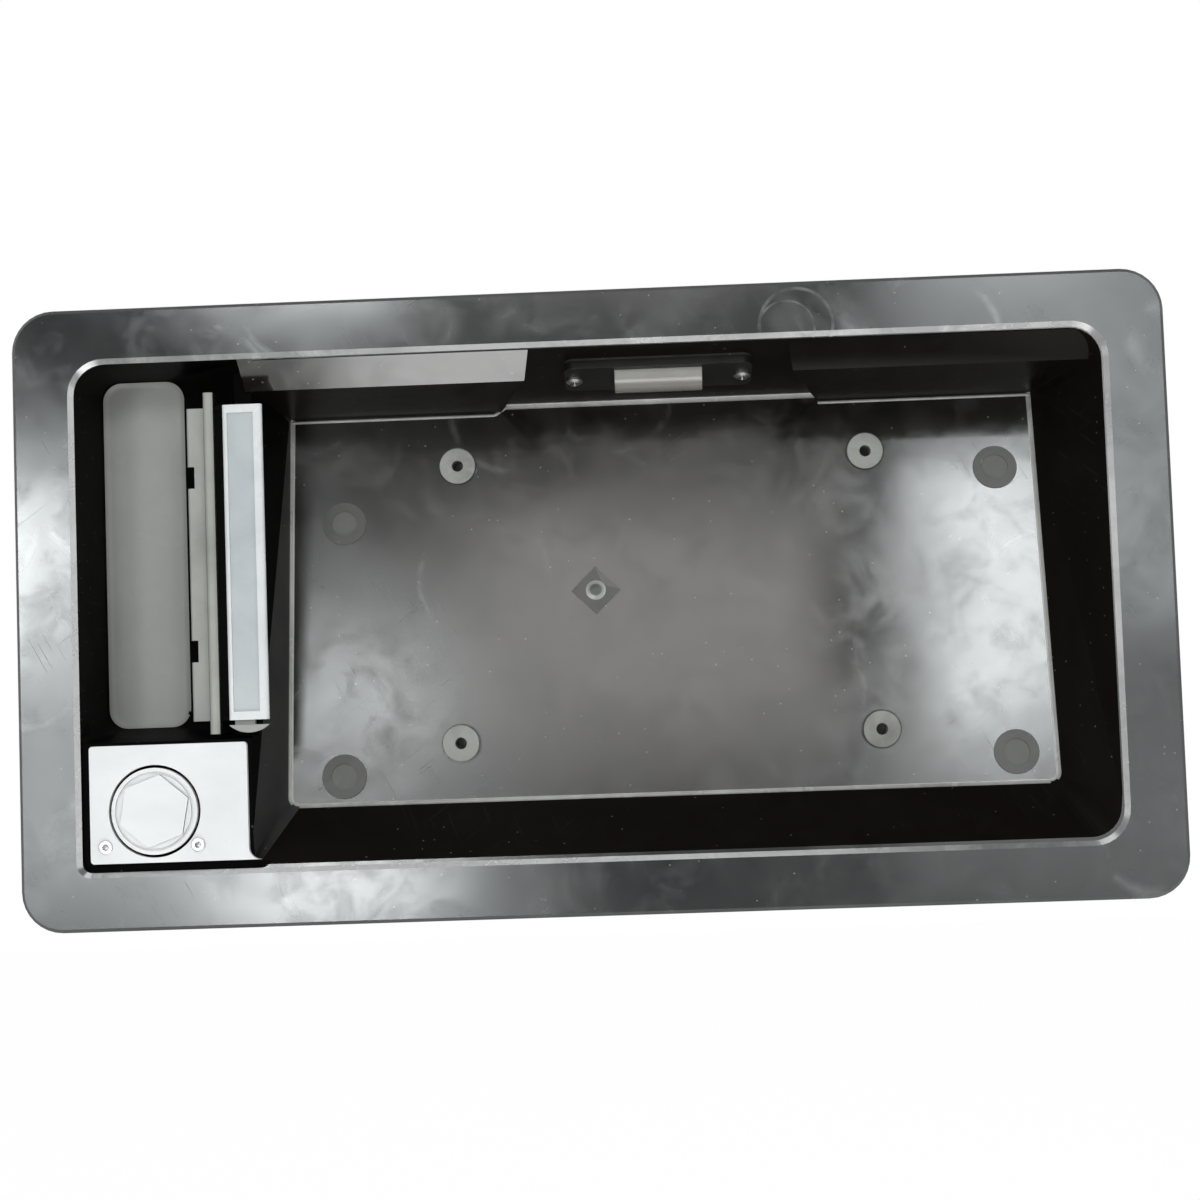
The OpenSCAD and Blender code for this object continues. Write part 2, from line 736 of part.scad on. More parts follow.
// The moulded housing: flange, plate pocket, finger pocket and lock pad in one
module housing() {
    color("#2a2c2e") from_front() difference() {
        union() {
            difference() {
                union() {
                    flange();
                    plate_pocket(wall);
                    finger_pocket(wall);
                    pad_block();
                    back_features();
                }
                plate_pocket(0);
                finger_pocket(0);
                pad_recess();
                rim_cut();
                handle_bay();
            }
            front_features();
        }
        brow_cores();
        housing_holes();
    }
}

// Foam seal between the flange and the door skin
module flange_gasket() {
    edge = skirt_t + clear;
    inner = wall + 2 * clear;
    color("#1b1b1b") from_front() panel(flange_t, gasket_t) difference() {
        round_rect(edge - flange_w / 2, flange_w / 2 - edge, edge - flange_h / 2, flange_h / 2 - edge,
            flange_r - edge);
        round_rect(open_x0 - inner, open_x1 + inner, open_z0 - inner, open_z1 + inner, pad_corner_r);
    }
}

// Studs that clamp the housing to the door
module mounting_studs() {
    color("silver") from_front() for (p = stud_points) {
        end = floor_d(p[1]) + wall + boss_h;
        rod(p[0], p[1], end - stud_sunk, end, stud_shank_r);
        rod(p[0], p[1], end - bite, end + mount_stud_l, mount_stud_r);
    }
}

// Snap-in nuts for the plate screws
module plate_nuts() {
    color("#b4b0a4") from_front() for (x = plate_x, z = plate_z) {
        face = floor_d(z) - seat_rise;
        barb = floor_d(z) + wall + seat_back;
        difference() {
            union() {
                rod(x, z, face - nut_collar_t, face, seat_r - 0.5);
                rod(x, z, face - nut_collar_t / 2, barb + nut_barb_t, nut_body_r);
                rod(x, z, barb + clear / 4, barb + nut_barb_t / 2, nut_barb_r);
            }
            rod(x, z, face - nut_collar_t - bite, barb + nut_barb_t - nut_end_t, nut_hole_r);
        }
    }
}

// Outline of the lamp's window, with its clearance
module lens_window(grow, h0, h1) {
    translate([-lens_l / 2 - grow, -lens_r - grow, h0])
        cube([lens_l + 2 * grow, 2 * (lens_r + grow), h1 - h0]);
}

// Base of the plate lamp, pocketed behind for the lens flange
module lamp_base() {
    top = -lamp_gasket_t;
    color("#1e1e1e") from_front() on_ceiling() difference() {
        translate([0, 0, top - lamp_t]) linear_extrude(lamp_t)
            round_rect(-lamp_l / 2, lamp_l / 2, -lamp_w / 2, lamp_w / 2, lamp_w / 6);
        lens_window(clear / 2, top - lamp_t - bite, top + bite);
        lens_window(lens_flange + clear / 2, top - lens_flange_t, top + bite);
        for (x = [-1, 1] * lamp_pitch / 2) {
            translate([x, 0, top - lamp_t - bite])
                cylinder(h = lamp_t + 2 * bite, r = lamp_screw_r + clear / 2);
        }
    }
}

// Clear half-round lens
module lamp_lens() {
    top = -lamp_gasket_t;
    color("#d8e0e4", 0.6) from_front() on_ceiling() difference() {
        union() {
            lens_window(lens_flange, top - lens_flange_t, top);
            intersection() {
                translate([-lens_l / 2, 0, top]) rotate([0, 90, 0]) cylinder(h = lens_l, r = lens_r);
                translate([-lens_l, -lens_r, top - 2 * lens_r]) cube([2 * lens_l, 2 * lens_r, 2 * lens_r]);
            }
        }
        translate([-lens_l / 2 + lens_t, 0, top]) rotate([0, 90, 0])
            cylinder(h = lens_l - 2 * lens_t, r = lens_r - lens_t);
    }
}

// Seal between the lamp and the ceiling
module lamp_gasket() {
    color("#202020") from_front() on_ceiling() difference() {
        translate([0, 0, -lamp_gasket_t]) linear_extrude(lamp_gasket_t)
            round_rect(-lamp_l / 2, lamp_l / 2, -lamp_w / 2, lamp_w / 2, lamp_w / 6);
        lens_window(-lens_t, -lamp_gasket_t - bite, bite);
        for (x = [-1, 1] * lamp_pitch / 2) {
            translate([x, 0, -lamp_gasket_t - bite])
                cylinder(h = lamp_gasket_t + 2 * bite, r = lamp_screw_r + clear / 2);
        }
    }
}

// Pan-head screws of the lamp
module lamp_screws() {
    seat = -lamp_gasket_t - lamp_t;
    head_t = 2;
    color("silver") from_front() on_ceiling() for (x = [-1, 1] * lamp_pitch / 2) translate([x, 0, 0]) {
        rotate_extrude() polygon([
            [0, seat - head_t], [lamp_screw_head_r * 0.6, seat - head_t],
            [lamp_screw_head_r, seat - head_t / 2], [lamp_screw_head_r, seat], [lamp_screw_r, seat],
            [lamp_screw_r, lamp_screw_l - 3], [0, lamp_screw_l - 3]
        ]);
    }
}

// Twist-in bulb holder on top of the ceiling
module bulb_holder() {
    seat = ceiling_boss_t + seal_t;
    cap = seat + holder_flange_t + holder_cap_l;
    color("#2b2b2b") from_front() on_ceiling() rotate_extrude() polygon([
        [holder_bore_r, 0], [holder_r, 0], [holder_r, seat], [holder_flange_r, seat],
        [holder_flange_r, seat + holder_flange_t], [holder_cap_r, seat + holder_flange_t],
        [holder_cap_r, cap - 1], [holder_cap_r - 1, cap], [0, cap], [0, cap - 6], [holder_bore_r, cap - 6]
    ]);
}

// Ring seal under the bulb holder
module holder_seal() {
    color("#553322") from_front() on_ceiling() translate([0, 0, ceiling_boss_t]) difference() {
        cylinder(h = seal_t, r = holder_flange_r);
        translate([0, 0, -bite]) cylinder(h = seal_t + 2 * bite, r = holder_r + clear / 2);
    }
}

// Capless bulb, its flat base up in the holder
module lamp_bulb() {
    base = ceiling_boss_t + seal_t + holder_flange_t + holder_cap_l - 6;
    color("#f0f0e0", 0.7) from_front() on_ceiling() {
        translate([0, 0, -bulb_tip]) sphere(bulb_r - bite / 2);
        translate([0, 0, -bulb_tip]) cylinder(h = base - 6 + bulb_tip, r = bulb_r - bite / 2);
        translate([-bulb_r, -bulb_base_w / 2, base - 8]) cube([2 * bulb_r, bulb_base_w, 8]);
    }
}

// Flat terminals on the bulb holder
module lamp_terminals() {
    cap = ceiling_boss_t + seal_t + holder_flange_t + holder_cap_l;
    color("goldenrod") from_front() on_ceiling() for (x = [-1, 1] * terminal_pitch / 2) {
        translate([x - terminal_t / 2, -terminal_w / 2, cap]) cube([terminal_t, terminal_w, terminal_l]);
    }
}

// Cover plate of the lock pad
module lock_cover() {
    color("#c8cacc") from_front() difference() {
        panel(cover_front, cover_t) {
            round_rect(cover_x0, cover_x1, cover_z0, cover_z1, cover_r);
            translate([cover_x1 - cover_r, cover_z0]) square(cover_r);
            translate([cover_x1, cover_z0]) difference() {
                square(cover_flare);
                translate([cover_flare, cover_flare]) circle(cover_flare);
            }
        }
        rod(plug_x, plug_z, cover_front - bite, pad_depth + bite, plug_r + plug_gap);
        for (x = rivet_x) rod(x, rivet_z, cover_front - bite, pad_depth + bite, rivet_shank_r + seat_fit);
    }
}

// Blanking plug of the lock hole, with a ring groove and a raised hexagon
module lock_plug() {
    face = cover_front - plug_face;
    barrel_end = pad_back + plug_groove + 3;
    ring_r = plug_r - plug_ring_in;
    color("#c0c2c4") from_front() {
        difference() {
            union() {
                rod(plug_x, plug_z, face, pad_depth, plug_r);
                rod(plug_x, plug_z, pad_depth - bite, barrel_end, barrel_r);
            }
            difference() {
                rod(plug_x, plug_z, face - bite, face + plug_ring, ring_r + plug_ring / 2);
                rod(plug_x, plug_z, face - 2 * bite, face + 2 * bite, ring_r - plug_ring / 2);
            }
            difference() {
                rod(plug_x, plug_z, pad_back, pad_back + plug_groove, barrel_r + bite);
                rod(plug_x, plug_z, pad_back - bite, pad_back + plug_groove + bite, barrel_r - plug_groove);
            }
            rod(plug_x, plug_z, pad_depth + wall, barrel_end + bite, barrel_r - 2 * plug_groove);
        }
        translate([plug_x, face, plug_z]) rotate([90, -20, 0])
            cylinder(h = hex_rise, r = hex_flats / 2 / cos(30), $fn = 6);
    }
}

// Spring clip that holds the plug behind the pad
module plug_clip() {
    slot_r = barrel_r - plug_groove + clear / 2;
    color("silver") from_front() panel(pad_back + clear / 4, plug_clip_t) difference() {
        translate([plug_x - barrel_r - plug_clip_edge, plug_z - barrel_r / 2])
            square([2 * (barrel_r + plug_clip_edge), 1.5 * barrel_r + plug_clip_edge]);
        translate([plug_x, plug_z]) circle(slot_r);
        translate([plug_x - slot_r, plug_z - barrel_r]) square([2 * slot_r, barrel_r]);
    }
}

// Tubular rivets of the cover
module cover_rivets() {
    front = cover_front - rivet_head_t;
    back = pad_back + rivet_head_t;
    color("silver") from_front() for (x = rivet_x) difference() {
        union() {
            rod(x, rivet_z, front, cover_front, rivet_head_r);
            rod(x, rivet_z, front, back, rivet_shank_r);
            rod(x, rivet_z, pad_back, back, rivet_head_r - 0.4);
        }
        rod(x, rivet_z, front - bite, back + bite, rivet_bore_r);
    }
}

// A flat shape drawn about the hinge axis, along z
module lever_slice(z0, z1) {
    column(z0, z1) translate([pivot_x, pivot_depth]) children();
}

// Flat finger paddle, level with the back of the lip
module paddle() {
    back = lip_h - lip_front;
    lever_slice(bar_z0, bar_z1)
        round_rect(lip_left - paddle_reach, lip_left + lip_w / 2, back - paddle_t, back, paddle_t / 2.2);
}

// Lower end piece of the face bar, round below, on a tongue of the web
module bar_tail() {
    tail_z = bar_z0 - tail_gap - tail_h;
    bow_r = (bar_w * bar_w / 4 + tail_h * tail_h) / (2 * tail_h);
    translate([pivot_x, pivot_depth, 0]) panel(-bar_lift - bar_t, bar_t) intersection() {
        translate([bar_left, tail_z]) square([bar_w, tail_h]);
        translate([bar_reach - bar_w / 2, tail_z + bow_r]) circle(bow_r);
    }
    lever_slice(tail_z + tail_h / 2, bar_z0 + bite)
        translate([bar_left + bar_rim_left, -groove_floor])
        square([bar_w / 2, web_t]);
}

// Shallow panel in the face bar, inside its rim
module bar_panel() {
    lever_slice(bar_z0 + bar_rim_end, bar_z1 - bar_rim_end)
        translate([bar_left + bar_rim_left, -bar_lift - bar_t - bite])
        square([bar_w - bar_rim_left - bar_rim_right, bar_panel_depth + bite]);
}

// Notches in the paddle's edge, level with the hinge ears
module paddle_notches() {
    for (z = [-1, 1] * ear_pitch / 2) {
        lever_slice(handle_z + z - notch_h / 2, handle_z + z + notch_h / 2)
            translate([lip_left - paddle_reach - bite, 0]) square([notch_run + bite, finger_depth]);
    }
}

// Pull handle: face bar, finger lip and paddle, hinge knuckles and tail arm
module handle_lever() {
    bar_front = -bar_lift - bar_t;
    color("#d2d4d6") from_front() difference() {
        union() {
            lever_slice(bar_z0, bar_z1)
                round_rect(bar_left, bar_reach, bar_front, -bar_lift, bar_t / 2.2);
            lever_slice(bar_z0 - lip_over, bar_z1 + lip_over)
                round_rect(lip_left, lip_left + lip_w, -lip_front, lip_h - lip_front, lip_w / 2.6);
            lever_slice(bar_z0, bar_z1)
                translate([lip_left + lip_w / 2, -groove_floor])
                square([-hub_r - clear - lip_left - lip_w / 2, web_t]);
            for (z = [bar_z0, bar_z1 - end_cap_t]) {
                lever_slice(z, z + end_cap_t) intersection() {
                    translate([(lip_left + bar_reach) / 2, bar_front]) circle(end_cap_r);
                    translate([lip_left, bar_front + bar_t / 2]) square([bar_reach - lip_left, end_cap_r]);
                }
            }
            paddle();
            bar_tail();
            for (ear = [-1, 1] * ear_pitch / 2, side = [-1, 1] * knuckle_run) {
                z = handle_z + ear + side;
                lever_slice(z - knuckle_t / 2, z + knuckle_t / 2) {
                    circle(hub_r);
                    translate([-hub_r, -bar_lift - bar_t / 2]) square([2 * hub_r, bar_lift + bar_t / 2]);
                }
            }
            lever_slice(arm_z - arm_w / 2, arm_z + arm_w / 2) {
                circle(hub_r);
                translate([-hub_r, -bar_lift - bar_t / 2]) square([2 * hub_r, bar_lift + bar_t / 2]);
                translate([-arm_t / 2, 0]) square([arm_t, arm_l]);
            }
        }
        paddle_notches();
        bar_panel();
        translate([pivot_x, pivot_depth, pin_z0 - bite])
            cylinder(h = pin_z1 - pin_z0 + 2 * bite, r = pin_r + run_fit);
    }
}

// Hinge pin with a head above and a clip groove below
module handle_pin() {
    groove_z = pin_z0 - clip_t;
    color("silver") from_front() translate([pivot_x, pivot_depth, 0]) difference() {
        union() {
            translate([0, 0, pin_z0 - pin_tail]) cylinder(h = pin_z1 - pin_z0 + pin_tail, r = pin_r);
            translate([0, 0, pin_z1]) cylinder(h = pin_head_t, r = pin_head_r);
        }
        translate([0, 0, groove_z]) difference() {
            cylinder(h = clip_t, r = pin_r + bite);
            translate([0, 0, -bite]) cylinder(h = clip_t + 2 * bite, r = clip_groove_r);
        }
    }
}

// Snap ring at the lower end of the hinge pin
module pin_clip() {
    color("gray") from_front() translate([pivot_x, pivot_depth, pin_z0 - clip_t]) difference() {
        cylinder(h = clip_t, r = clip_outer_r);
        translate([0, 0, -bite]) cylinder(h = clip_t + 2 * bite, r = clip_groove_r + seat_fit);
        translate([-clip_groove_r, 0, -bite]) cube([2 * clip_groove_r, clip_outer_r + bite, clip_t + 2 * bite]);
    }
}

// Route of the return spring about the hinge axis: a leg behind the face bar, the coil, a leg on the ridge
coil_r = pin_r + wire_d / 2 + 0.7;
coil_pitch = wire_d * 1.3;
coil_drop = 21;
coil_z = handle_z - coil_drop;
coil_steps = 12;
leg_gap = wire_d / 2 + 0.1;
spring_route = concat(
    [[coil_r, leg_gap - bar_lift, coil_z]],
    [for (i = [0:spring_turns * coil_steps])
        let (a = i * 360 / coil_steps)
        [coil_r * cos(a), coil_r * sin(a), coil_z + i * coil_pitch / coil_steps]],
    [[coil_r, crest_depth - pivot_depth - leg_gap, coil_z + spring_turns * coil_pitch]]
);

function unit(v) = v / norm(v);

// Direction of a route at one of its points
function heading(route, i) = unit(route[min(i + 1, len(route) - 1)] - route[max(i - 1, 0)]);

// A round wire swept along a route
module wire(route, r, sides) {
    last = len(route) - 1;
    points = [for (i = [0:last], k = [0:sides - 1])
        let (t = heading(route, i), u = unit(cross(t, [0, 0, 1])), v = cross(u, t), a = k * 360 / sides)
        route[i] + r * (cos(a) * u + sin(a) * v)];
    caps = [[for (k = [0:sides - 1]) k], [for (k = [sides - 1:-1:0]) last * sides + k]];
    sides_faces = [for (i = [0:last - 1], k = [0:sides - 1])
        let (n = (k + 1) % sides)
        [i * sides + k, (i + 1) * sides + k, (i + 1) * sides + n, i * sides + n]];
    polyhedron(points, concat(caps, sides_faces));
}

// Return spring round the hinge pin
module handle_spring() {
    color("lightgray") from_front() translate([pivot_x, pivot_depth, 0]) wire(spring_route, wire_d / 2, 6);
}

// Rubber pad that stops the tail arm as the handle closes
module arm_bumper() {
    d0 = pivot_depth + arm_l / 2;
    d1 = d0 + 9;
    face = pivot_x + arm_t / 2 + clear;
    bumper_gap = 0.1;
    color("#151515") from_front() column(arm_z - arm_w / 3, arm_z + arm_w / 3) polygon([
        [face, d0], [side_back_x(d0) - bumper_gap, d0], [side_back_x(d1) - bumper_gap, d1], [face, d1]
    ]);
}

// Crank plate between the tail arm and the latch rod
module bell_crank() {
    color("#b8b070") from_front() difference() {
        panel(crank_d, crank_t) translate([crank_x, crank_z]) {
            circle(crank_hub_r);
            translate([-crank_leg_w / 2, 0]) square([crank_leg_w, crank_leg]);
            translate([0, crank_leg]) circle(crank_leg_w / 2);
            translate([-rod_leg, -crank_leg_w / 2]) square([rod_leg, crank_leg_w]);
            translate([-rod_leg, 0]) circle(crank_leg_w / 2 + bite);
            polygon([[0, 2.2 * crank_leg_w], [-1.8 * crank_leg_w, 0], [0, 0]]);
        }
        rod(crank_x, crank_z, crank_d - bite, crank_d + crank_t + bite, shoulder_r + run_fit);
        rod(crank_x, crank_stud_z, crank_d - bite, crank_d + crank_t + bite, stud_tenon_r + seat_fit);
        rod(rod_x, crank_z, crank_d - bite, crank_d + crank_t + bite, clip_body_r + run_fit);
    }
}

// Drive stud riveted to the crank
module crank_stud() {
    color("silver") from_front() {
        rod(crank_x, crank_stud_z, crank_d - stud_l, crank_d, stud_r);
        rod(crank_x, crank_stud_z, crank_d - bite, crank_d + crank_t + 0.6, stud_tenon_r);
        rod(crank_x, crank_stud_z, crank_d + crank_t, crank_d + crank_t + 0.6, stud_r + 0.5);
    }
}

// Plain washer under the crank
module crank_washer() {
    color("#e8e4d8") from_front() panel(crank_seat_d, crank_washer_t) translate([crank_x, crank_z])
        difference() {
            circle(crank_boss_r + 1.5);
            circle(shoulder_r + run_fit);
        }
}

// Shoulder screw that the crank turns on
module crank_screw() {
    head = crank_d + crank_t + clear;
    color("silver") from_front() difference() {
        union() {
            rod(crank_x, crank_z, crank_seat_d - crank_thread_l, crank_seat_d, crank_thread_r);
            rod(crank_x, crank_z, crank_seat_d, head, shoulder_r);
            rod(crank_x, crank_z, head, head + crank_head_t, crank_head_r);
        }
        translate([crank_x, head + crank_head_t + bite, crank_z]) rotate([90, 0, 0])
            cylinder(h = crank_head_t / 2 + bite, r = crank_head_r / 2, $fn = 6);
    }
}

// Nylon clip that takes the latch rod
module rod_clip() {
    front = crank_d - 1.6;
    back = crank_d + crank_t;
    color("#e6e2d2") from_front() difference() {
        union() {
            rod(rod_x, crank_z, front, back + clip_tail, clip_body_r);
            rod(rod_x, crank_z, front, crank_d - 0.1, clip_body_r + 0.9);
            rod(rod_x, crank_z, back + 0.1, back + 2, clip_body_r + 2.2);
        }
        rod(rod_x, crank_z, front - bite, back + clip_tail + bite, rod_bore_r);
    }
}

housing();
flange_gasket();
mounting_studs();
plate_nuts();
lamp_base();
lamp_lens();
lamp_gasket();
lamp_screws();
bulb_holder();
holder_seal();
lamp_bulb();
lamp_terminals();
lock_cover();
lock_plug();
plug_clip();
cover_rivets();
handle_lever();
handle_pin();
pin_clip();
handle_spring();
arm_bumper();
bell_crank();
crank_stud();
crank_washer();
crank_screw();
rod_clip();
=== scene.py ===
# %% [markdown]
# # A rear van door handle in its licence-plate pocket
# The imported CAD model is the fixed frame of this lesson. Everything here is drawn round it in metres:
# x runs to the right, z up, and y into the door, so the front of the flange looks along minus y.
# A free-standing model would have to be lined up by hand; starting from the frame keeps every piece in place.

import math

import bmesh
import bpy
from mathutils import Matrix, Vector


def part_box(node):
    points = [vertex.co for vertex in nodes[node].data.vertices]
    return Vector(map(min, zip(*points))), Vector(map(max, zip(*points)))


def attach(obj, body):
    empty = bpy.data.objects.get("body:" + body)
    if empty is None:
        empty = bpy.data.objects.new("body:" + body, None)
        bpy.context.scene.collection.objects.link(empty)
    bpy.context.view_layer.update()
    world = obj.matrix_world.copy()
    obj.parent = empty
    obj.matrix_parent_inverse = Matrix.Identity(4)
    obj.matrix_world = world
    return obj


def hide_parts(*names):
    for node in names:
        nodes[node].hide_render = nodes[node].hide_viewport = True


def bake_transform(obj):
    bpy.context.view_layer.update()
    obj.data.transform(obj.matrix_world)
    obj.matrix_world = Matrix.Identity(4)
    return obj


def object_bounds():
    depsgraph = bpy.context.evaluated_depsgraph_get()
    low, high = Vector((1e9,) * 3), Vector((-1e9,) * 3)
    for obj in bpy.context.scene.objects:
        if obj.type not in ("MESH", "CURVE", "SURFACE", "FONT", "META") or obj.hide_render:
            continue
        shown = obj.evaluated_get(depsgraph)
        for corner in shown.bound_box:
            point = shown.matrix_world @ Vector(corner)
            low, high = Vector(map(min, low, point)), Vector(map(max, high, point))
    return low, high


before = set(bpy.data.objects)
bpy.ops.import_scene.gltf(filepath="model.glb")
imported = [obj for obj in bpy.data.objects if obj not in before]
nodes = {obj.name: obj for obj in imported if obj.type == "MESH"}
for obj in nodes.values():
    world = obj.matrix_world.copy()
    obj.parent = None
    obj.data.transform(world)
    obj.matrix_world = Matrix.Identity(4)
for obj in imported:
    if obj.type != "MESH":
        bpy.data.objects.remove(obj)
cad_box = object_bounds()
MM = 0.001
print("nodes", len(nodes), "box", [[round(v, 4) for v in corner] for corner in cad_box])


def link(thing):
    bpy.context.scene.collection.objects.link(thing)
    return thing


# %% [markdown]
# ## The camera
# The picture was taken by hand, a little from below and right, so its edges are not level.
# The camera's turn and place were solved from the flange corners and the plate screws.
# A turn vector is kept instead of three angles, because it says the tilt in one line.

# %% Place the camera
PHOTO_SIDE = 1200
FOCAL_PIXELS = 2000
SENSOR_MM = 36
camera_turn = Vector((-0.0548829, -0.0353503, -0.0265876))
camera_place = Vector((0.0239453, -0.8162829, -0.0449064))

to_world = Matrix.Rotation(camera_turn.length, 3, camera_turn).transposed()
right, ahead, up = to_world.col[0], to_world.col[1], to_world.col[2]
camera = link(bpy.data.objects.new("photo_camera", bpy.data.cameras.new("photo_camera")))
camera.matrix_world = Matrix.Translation(camera_place) @ Matrix((right, up, -ahead)).transposed().to_4x4()
camera.data.sensor_width = SENSOR_MM
camera.data.lens = SENSOR_MM * FOCAL_PIXELS / PHOTO_SIDE
scene = bpy.context.scene
scene.camera = camera
scene.view_settings.view_transform = "Standard"
print("lens", camera.data.lens)


# %% [markdown]
# ## Small helpers for node trees
# Shader trees and geometry trees are wired the same way, so one helper adds a node, sets its
# plain values and links its sockets. Writing each line out by hand would hide the recipe.

# %% Add and wire nodes
def put(tree, kind, inputs=None, **settings):
    made = tree.nodes.new(kind)
    for key, value in settings.items():
        setattr(made, key, value)
    for key, value in (inputs or {}).items():
        if isinstance(value, bpy.types.NodeSocket):
            tree.links.new(value, made.inputs[key])
        else:
            made.inputs[key].default_value = value
    return made


def maths(tree, operation, a, b=0.0):
    return put(tree, "ShaderNodeMath", {0: a, 1: b}, operation=operation).outputs[0]


def blend(tree, factor, a, b):
    made = put(tree, "ShaderNodeMix", {0: factor, 6: a, 7: b}, data_type="RGBA")
    return made.outputs[2]


def span(tree, value, low, high, out_low=0.0, out_high=1.0):
    made = put(tree, "ShaderNodeMapRange", {0: value, 1: low, 2: high, 3: out_low, 4: out_high})
    return made.outputs[0]


# %% [markdown]
# ## The stage
# A pale floor under the part and a white world behind it. White comes from Light Path in the world and
# the floor, never from more light on the part. The front of the studio is a dim grey for reflections,
# because black plastic shows whatever stands before it.

# %% World
STUDIO_GREY = (0.30, 0.305, 0.305, 1)
WHITE = (1, 1, 1, 1)
TURN_TO_WHITE = (0.0, 0.5)

world = bpy.data.worlds.new("studio")
scene.world = world
world.use_nodes = True
tree = world.node_tree
tree.nodes.clear()
path = put(tree, "ShaderNodeLightPath").outputs
direction = put(tree, "ShaderNodeSeparateXYZ", {0: put(tree, "ShaderNodeTexCoord").outputs["Generated"]})
seen = maths(tree, "MAXIMUM", path["Is Camera Ray"], path["Is Transmission Ray"])
behind = span(tree, direction.outputs["Y"], *TURN_TO_WHITE)
mirrored = maths(tree, "MULTIPLY", path["Is Glossy Ray"], behind)
sky = blend(tree, maths(tree, "MAXIMUM", seen, mirrored), STUDIO_GREY, WHITE)
background = put(tree, "ShaderNodeBackground", {"Color": sky, "Strength": 1.0})
put(tree, "ShaderNodeOutputWorld", {"Surface": background.outputs[0]})
print("world", world.name)

# %% Floor
FLOOR_SIZE, FLOOR_DROP = 8.0, 0.45
FLOOR_LIFT, FLOOR_GLOSS = 0.99, 0.5
PAPER_DARK, PAPER_LIGHT = (0.90, 0.90, 0.90, 1), (0.94, 0.94, 0.94, 1)

floor_mesh = bpy.data.meshes.new("studio_floor")
half, low_z = FLOOR_SIZE / 2, cad_box[0][2] - FLOOR_DROP
corners = [(-half, -half, low_z), (half, -half, low_z), (half, half, low_z), (-half, half, low_z)]
floor_mesh.from_pydata(corners, [], [(0, 1, 2, 3)])
studio_floor = link(bpy.data.objects.new("studio_floor", floor_mesh))
floor_finish = bpy.data.materials.new("studio_floor")
floor_finish.use_nodes = True
tree = floor_finish.node_tree
tree.nodes.clear()
speckle = put(tree, "ShaderNodeTexNoise", {"Scale": 9.0, "Detail": 3.0})
paper = blend(tree, speckle.outputs[0], PAPER_DARK, PAPER_LIGHT)
sheet = put(tree, "ShaderNodeBsdfDiffuse", {"Color": paper})
glow = put(tree, "ShaderNodeEmission", {"Color": WHITE, "Strength": 1.0})
path = put(tree, "ShaderNodeLightPath").outputs
seen = maths(tree, "MAXIMUM", path["Is Camera Ray"], path["Is Transmission Ray"])
mirrored = maths(tree, "MULTIPLY", path["Is Glossy Ray"], FLOOR_GLOSS)
lift = maths(tree, "MULTIPLY", maths(tree, "MAXIMUM", seen, mirrored), FLOOR_LIFT)
mixed = put(tree, "ShaderNodeMixShader", {0: lift, 1: sheet.outputs[0], 2: glow.outputs[0]})
put(tree, "ShaderNodeOutputMaterial", {"Surface": mixed.outputs[0]})
floor_mesh.materials.append(floor_finish)
print("floor at", round(low_z, 4))

# %% [markdown]
# ## The lights
# Each bright patch on the black plastic is a mirror image of something pale before it. Boxes at the left make
# the patches on the left flange and below the lock pad, weaker ones make the sheen at the right and above,
# and the three highest are mirrored in the leaning floor. Boxes beside, below and above the part light its
# chamfers, and one behind lights the back. One large light would be simpler, but shows as one flat sheet.

# %% Soft box helper
AIM = Vector((0.0, 0.02, 0.0))


def softbox(name, centre, width, height, radiance, colour=(1, 1, 1), aim=AIM):
    light = bpy.data.lights.new(name, "AREA")
    light.shape = "RECTANGLE"
    light.size, light.size_y = width, height
    light.energy = radiance * math.pi * width * height
    light.color = colour
    box = link(bpy.data.objects.new(name, light))
    box.location = centre
    box.rotation_euler = (aim - Vector(centre)).to_track_quat("-Z", "Y").to_euler()
    box.visible_camera = False
    return box


# %% Soft boxes before the part: name, x, z, width, height, radiance and tint
WALL_Y = -1.6
WARM, COOL = (1.0, 0.985, 0.95), (0.95, 0.995, 1.0)
for name, x, z, width, height, radiance, tint in (
    ("left_box", -0.74, 0.14, 0.26, 0.26, 14.0, COOL),
    ("left_low_box", -0.67, -0.15, 0.32, 0.24, 5.0, COOL),
    ("bottom_left_box", -0.37, -0.24, 0.28, 0.16, 16.0, COOL),
    ("right_box", 0.62, 0.24, 0.26, 0.42, 3.6, COOL),
    ("right_low_box", 0.55, -0.16, 0.50, 0.26, 1.3, COOL),
    ("top_right_box", 0.41, 0.44, 0.20, 0.12, 3.4, COOL),
    ("top_left_box", -0.38, 0.43, 0.24, 0.10, 0.3, COOL),
    ("floor_right_box", 0.50, 0.70, 0.24, 0.38, 11.0, COOL),
    ("floor_left_box", -0.40, 0.56, 0.24, 0.20, 11.5, COOL),
    ("floor_middle_box", 0.00, 0.66, 0.50, 0.34, 2.5, WARM),
):
    softbox(name, (x, WALL_Y, z), width, height, radiance, tint)

# %% Soft boxes round the part
BELOW, ABOVE = (0.0725, -0.22, -0.56), (-0.15, -0.30, 1.1)
UP_AIM, DOWN_AIM = Vector((BELOW[0], AIM.y, AIM.z)), Vector((ABOVE[0], AIM.y, AIM.z))
softbox("rim_right_box", (1.3, -0.42, 0.085), width=0.40, height=0.8, radiance=2.5)
softbox("rim_left_box", (-1.3, -0.38, 0.05), width=0.30, height=0.6, radiance=2.0)
softbox("rim_below_box", BELOW, width=0.565, height=0.30, radiance=4.4, aim=UP_AIM)
softbox("rim_above_box", ABOVE, width=0.8, height=0.5, radiance=2.5, aim=DOWN_AIM)
softbox("back_box", (0.4, 1.6, 0.9), width=1.2, height=0.8, radiance=4.0)


